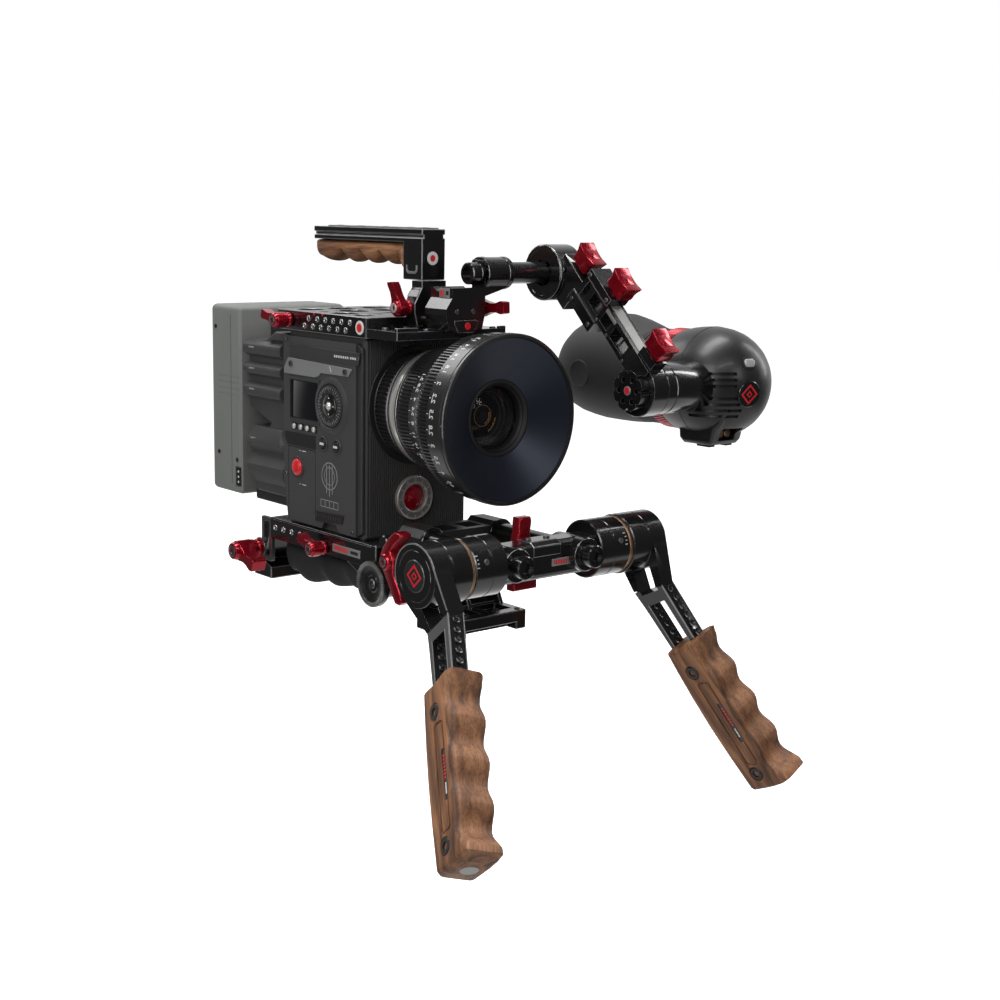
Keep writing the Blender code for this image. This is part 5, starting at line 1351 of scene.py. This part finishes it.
def rosette():
    """The toothed disc on the left of the base, with its bracket."""
    centre = (69.5, -114.8)
    plate_shape = [(120, -108.8), (82, -108.8), (80, -109), (79, -101.5), (62, -101.5), (57, -112),
                   (62, -124), (72, -127), (84, -124)]
    boss = drum("X", centre, 11, -57.5, -32, 0.8, 64)
    piece("rosette_bracket", merge(prism("X", plate_shape, -48, -42), boss), BLACK, "camera",
          ("rosette_mount",), 0.7)
    profile = [(6.2, -60.6), (8.6, -60.9), (9.2, -61), (15.2, -62.9), (15.8, -62.4), (15.8, -58.4), (15, -57),
               (13.6, -56.5), (0, -56.5), (0, -60), (4.6, -60), (5.2, -61.2)]
    piece("rosette_cone", turned("X", centre, profile, 96), STEEL_BLACK)
    # silver ticks round the rim: the teeth, coloured bright as a painted highlight
    ticks = []
    for step in range(72):
        turn = Matrix.Rotation(math.tau * step / 72, 4, "X")
        ticks.append(moved(block((-0.3, 0.8), (12.6, 15.6), (-0.14, 0.14)),
                           Matrix.Translation((-62.95, *centre)) @ turn))
    piece("rosette_teeth_painted_highlight", merge(*ticks), SILVER)
    piece("rosette_screw", screws([(-60, *centre)], (-1, 0, 0), 3.4, 1.9), STEEL)
    arms = [drum("X", (centre[0] + 12.2 * math.cos(a), centre[1] + 12.2 * math.sin(a)), 1.2, -57.2, -56, 0.1, 16)
            for a in (0.4, 2, 3.6, 5.2)]
    piece("rosette_back_pins", merge(*arms), STEEL)


def base_levers():
    """The red levers of the base, the top plate and the rods."""
    lever("rear_lever_grip", "rear_lever_turn", (-1, 0, 0), (0, -0.93, -0.36), 25, 24, 10, 7.5,
          "rear_lever", "rear_lever")
    piece("rear_lever_collar", drum("X", (232, -119), 7.9, -49.4, -48.1, 0.3, 48), STEEL)
    lever("side_lever_grip", "side_lever_turn", (-1, 0, 0), (0, 0.93, 0.36), 14, 18, 7, 5.6, "side_lever",
          "side_lever")
    lever("plate_lever_grip", "plate_lever_turn", (-1, 0, 0), (0, 0.98, 0.2), 15, 19, 7, 5.8, "plate_lever",
          "plate_lever")
    wings = [(45, -88), (40, -82.5), (33, -76.6), (33.6, -74.6), (40, -73.8), (46.5, -78.5),
             (53, -86), (55.5, -91), (55.5, -97), (52.5, -102), (48, -108), (43, -116.5),
             (39, -122), (34.5, -122.5), (31, -120.2), (34.5, -112), (39, -106), (41, -102),
             (40.6, -95)]
    barrel = [(0, -68), (4.6, -68), (5.6, -67), (5.6, -64), (6, -63.4), (6, -54), (5.2, -53.4),
              (5.2, -41), (0, -41)]
    piece("rod_lever_grip", merge(pillow("X", wings, -65, -55, 1.1, 3), turned("X", (48, -95), barrel, 48)),
          RED, "rod_lever", ("rod_lever",))
    piece("rod_lever_screw", screws([(-67.7, 48, -95)], (-1, 0, 0), 3.4, 0.9), STEEL, "rod_lever")


# ---------------------------------------------------------------- cross bar and grips

HUB = tuple(from_row(JOINTS["left_grip_swing"]["pos_m"]))[1:]
ARM_X = (87.5, 99.3)
ARM_KNEE = 33.5
ARM_SPLAY = math.radians(22)
GRIP_SWING = {"left": math.radians(41), "right": math.radians(26)}
SIDES = {"left": -1, "right": 1}


def drum_shell(name, sign, profile, body):
    """A turned cover on the axis of the grips, on the side that sign gives."""
    piece(name, turned("X", HUB, [(radius, sign * along) for radius, along in profile], 96), BLACK, body)


def cross_bar():
    """The cross bar: fixed drums, rod clamps, tension rings, cap and lever."""
    dress("cross_bar", BLACK, 0.8)
    for side, sign in SIDES.items():
        outline = [(10, 40.4), (18.9, 40.4), (19.6, 41.1), (19.6, 52), (19.3, 52.4), (19.3, 53), (19.6, 53.4),
                   (19.6, 65.8), (19, 66.45), (10, 66.45)]
        drum_shell(f"fixed_drum_{side}", sign, outline, "cross_bar")
        sleeve = hoop("Y", (sign * ROD_X, ROD_Z), 7.8, 11.3, HUB[0] - 16.2, HUB[0] - 7, 0.8, 72)
        piece(f"rod_clamp_{side}", sleeve, BLACK, "cross_bar")
        ticks = []
        for step in range(4):
            tick = block((-0.25, 0.25), (-0.2, 0.2), (-1.2 if step % 3 else -2.2, 0))
            turn = Matrix.Rotation(math.radians(-34 + 7.5 * step), 4, "X")
            place = Matrix.Translation((sign * 63.8, *HUB)) @ turn @ Matrix.Translation((0, -19.6, 0))
            ticks.append(moved(tick, place @ Matrix.Rotation(0.5 * math.pi, 4, "Y")))
        piece(f"drum_index_{side}", merge(*ticks), WHITE, "cross_bar")
        point = Vector((sign * 58, HUB[0] - 19.6 * math.cos(0.35), HUB[1] + 19.6 * math.sin(0.35)))
        piece(f"drum_screw_{side}", screws([point], (0, -math.cos(0.35), math.sin(0.35)), 1.9, 0.8), STEEL,
              "cross_bar")
        knurl = toothed("X", HUB, 6.3, 19.6, *sorted((sign * 66.6, sign * 69.4)), 110, 0.35, 0.4)
        piece(f"tension_ring_grip_{side}", knurl, BRONZE, f"{side}_tension", (f"tension_ring_{side}",))
    label("cross_bar_label", frame_at((16, HUB[0] - 10, HUB[1] - 3), (1, 0, 0), (0, 0, 1)), 24, 5,
          "cross_bar")
    cap = prism("X", [(HUB[0] - 10.4, -77), (HUB[0] - 6, -74.2), (HUB[0] + 6, -74.2), (HUB[0] + 10.4, -77),
                      (HUB[0] + 10.4, -84), (HUB[0] - 10.4, -84)], -12, 12)
    piece("cross_bar_cap", cap, BLACK, "cross_bar", bevel=0.7)
    heads = [(x, HUB[0], -74.2) for x in (-8, 8)]
    piece("cross_bar_screws", screws(heads, (0, 0, 1), 2.2, 1.2), STEEL, "cross_bar")
    wings = [(-3.2, -62.5), (6.4, -62.5), (7.2, -66), (6, -73), (6.4, -80), (7.6, -87), (7, -94),
             (8.6, -100), (12.6, -103.5), (12.8, -111.5), (-7.4, -111.5), (-7.6, -104), (-6.8, -94),
             (-7.4, -87), (-5.6, -80), (-3.6, -72), (-3.6, -66)]
    pin = [(0, -18), (5.4, -18), (6.4, -17), (6.4, -6), (5.4, -5), (0, -5)]
    piece("cross_bar_lever_grip", merge(pillow("Y", wings, -15, -7, 1, 3),
                                        turned("Y", (0, -87), pin, 48)), RED, "cross_bar_lever",
          ("cross_bar_lever",))
    piece("cross_bar_lever_screw", screws([(0, -5.2, -87)], (0, 1, 0), 3.6, 0.9), STEEL, "cross_bar_lever")


def hub_frame(side):
    """Local X runs from the hub down the upper arm, local Y forward."""
    swing = GRIP_SWING[side]
    down = (0, -math.sin(swing), -math.cos(swing))
    forward = (0, -math.cos(swing), math.sin(swing))
    return frame_at((SIDES[side] * 0.5 * sum(ARM_X), *HUB), down, forward)


def grip_frame(side):
    """Local X runs down the splayed grip from the knee, local Y forward, local Z outward or inward."""
    sign, swing = SIDES[side], GRIP_SWING[side]
    down = Vector((0, -math.sin(swing), -math.cos(swing)))
    forward = Vector((0, -math.cos(swing), math.sin(swing)))
    along = down * math.cos(ARM_SPLAY) + Vector((sign, 0, 0)) * math.sin(ARM_SPLAY)
    knee = Vector((sign * 0.5 * sum(ARM_X), *HUB)) + down * ARM_KNEE
    return frame_at(knee, along, forward)


def grip_arm(side):
    """The hub cover with its mark, the dimples of the bent arm, and pale lines along its edges that are painted
    highlights.
    """
    sign, body = SIDES[side], f"{side}_grip"
    dress(f"grip_arm_{side}", BLACK, 0.7)
    shell = [(6.3, 69.5), (19.8, 69.5), (20.5, 70.2), (20.5, 84), (20.2, 84.4), (20.2, 85), (20.5, 85.4),
             (20.5, 99), (19.9, 99.7), (16.4, 99.7), (15.9, 99.3), (6.3, 99.3)]
    drum_shell(f"grip_hub_{side}", sign, shell, body)
    cap = facing((sign * 99.3, *HUB), (sign, 0, 0))
    piece(f"grip_hub_cap_{side}", moved(drum("Z", (0, 0), 15.9, -0.5, 0.35, 0.2, 72), cap), BLACK, body)
    piece(f"grip_hub_disc_{side}", moved(drum("Z", (0, 0), 9.4, 0.3, 0.8, 0.2, 64), cap), BLACK_DULL, body)
    piece(f"grip_hub_rim_{side}", moved(hoop("Z", (0, 0), 9.4, 10.2, 0.2, 0.85, 0.2, 72), cap), STEEL, body)
    piece(f"grip_hub_mark_{side}", moved(diamonds(7.4, 2.8, 0.7, 0.98), cap), RED_PAINT, body)
    place = grip_frame(side)
    pits = [(6, 13.6)]
    for s in (13, 20, 27, 34, 41):
        pits += [(s, 13.6), (s + 1, -7.2)]
    dimples = [moved(dimple(2.4), place @ facing((s, front, 0), (0, 1, 0))) for s, front in pits]
    piece(f"grip_arm_pits_{side}", merge(*dimples), STEEL_BLACK, body)
    half = 0.5 * (ARM_X[1] - ARM_X[0])
    to_hub = hub_frame(side).inverted() @ place
    # pale lines round the hub and along the arm's edges: painted highlights
    turns = [math.radians(250 - 8.5 * k) for k in range(20)]
    outer = [Vector((20.5 * math.cos(t), 20.5 * math.sin(t))) for t in turns]
    outer.append((to_hub @ Vector((-1, 14.2, 0))).to_2d())
    inner = [point - point.normalized() * 0.9 for point in outer]
    levels = sorted((-sign * half, -sign * (half + 0.45)))
    line = prism("Z", [tuple(point) for point in outer + inner[::-1]], *levels)
    piece(f"grip_arm_painted_highlight_{side}", moved(line, hub_frame(side)), PALE_METAL_AND_HIGHLIGHT, body)
    edges = []
    for face in (-1, 1):
        low, high = sorted((face * (half - 1), face * (half - 0.35)))
        edges += [prism("Z", [(-1, 14.2), (-1, 13.3), (43, 12.5), (43, 13.4)], low, high),
                  prism("Z", [(10.6, -7.2), (46.4, -7.2), (46.4, -7.9), (10.6, -7.9)], low, high),
                  prism("Z", [(10.6, 8.9), (46.4, 8.9), (46.4, 8.2), (10.6, 8.2)], low, high)]
    piece(f"grip_arm_lower_painted_highlights_{side}", moved(merge(*edges), place), PALE_METAL_AND_HIGHLIGHT, body)


def grip_wood(side):
    """The walnut grip: finger hollows in front, a framed slot and two screws on each side."""
    body, place = f"{side}_grip", grip_frame(side)
    front = []
    for hollow in (140, 113, 86.5, 60):
        for k in range(9):
            part = 1 - 0.25 * k
            front.append((hollow + 13.2 * part, 14.4 + 4.8 * (0.5 - 0.5 * math.cos(math.pi * part))))
    front = [(s, b + (4.2 * ((s - 140) / 13.2) ** 2 if s > 140 else 0)) for s, b in front]
    back = [(45.6, -12.2), (60, -13.6), (82, -14.8), (105, -15.2), (130, -14.4), (150, -13.2),
            (157.6, -12.6), (159.8, -10.5), (160.5, 0), (160.5, 8), (159.6, 17), (157.5, 23.8)]
    top = [(43.4, 20.4), (43, 17), (43.8, 10), (44.2, 0), (44.6, -9)]
    outline = back + front + top
    slot_cut = prism("Z", rounded((90, 122), (5, 9), 1.9, 5), 12, 20)
    slot_back = prism("Z", rounded((90, 122), (5, 9), 1.9, 5), -20, -12)
    lines = []
    for low, high in ((12, 20), (-20, -12)):
        lines.append(cut(prism("Z", rounded((72, 140), (-1, 9.8), 3.5, 6), low, high),
                         prism("Z", rounded((73.6, 138.4), (0.6, 8.2), 2.2, 6), low - 1, high + 1)))
    wells = [drum("Z", (s, b), 5.6, low, high, 0.1, 40)
             for s, b in ((64, 1), (147, 1.6)) for low, high in ((11.8, 20), (-20, -11.8))]
    wood = cut(pillow("Z", outline, -12.8, 12.8, 4.8, 6, ((55, 1), (150, 1.5))), slot_cut, slot_back, *lines,
               merge(*wells))
    piece(f"grip_walnut_{side}", wood, WOOD, body, (f"grip_wood_{side}",), place=place, smooth=48, grain=place)
    heads, strips, bars, ends = [], [], [], []
    for normal in (-1, 1):
        for s, b in ((64, 1), (147, 1.6)):
            heads.append(moved(screw(5, 2), facing((s, b, normal * 10.9), (0, 0, normal))))
        low, high = sorted((normal * 11.7, normal * 12.15))
        strips.append(prism("Z", rounded((90.4, 121.6), (5.3, 8.7), 1.5, 4), low, high))
        for k in range(7):
            low, high = sorted((normal * 12.1, normal * 12.3))
            bars.append(block((94 + 2.2 * k, 95.4 + 2.2 * k), (6.1, 7.9), (low, high)))
        ends.append(block((111, 118), (6.4, 7.6), sorted((normal * 12.1, normal * 12.3))))
    piece(f"grip_screws_{side}", merge(*heads), BLACK_DULL, body, place=place)
    piece(f"grip_slot_strip_{side}", merge(*strips), BLACK, body, place=place)
    piece(f"grip_slot_bars_{side}", merge(*bars), RED_PAINT, body, place=place)
    piece(f"grip_slot_end_{side}", merge(*ends), WHITE, body, place=place)
    butt = drum("X", (4, 0), 5.4, 159.9, 160.9, 0.2, 40)
    piece(f"grip_butt_disc_{side}", butt, PALE_METAL_AND_HIGHLIGHT, body, place=place)


def main():
    camera_body()
    side_panel()
    panel_controls()
    connector_housing()
    rear_module()
    battery()
    front_badge()
    top_plate()
    front_shelf()
    lens()
    handle()
    finder_mount()
    finder_arm()
    finder()
    base()
    shoulder_pad()
    rosette()
    base_levers()
    cross_bar()
    for side in SIDES:
        grip_arm(side)
        grip_wood(side)
    studio()
    photo_camera()


main()
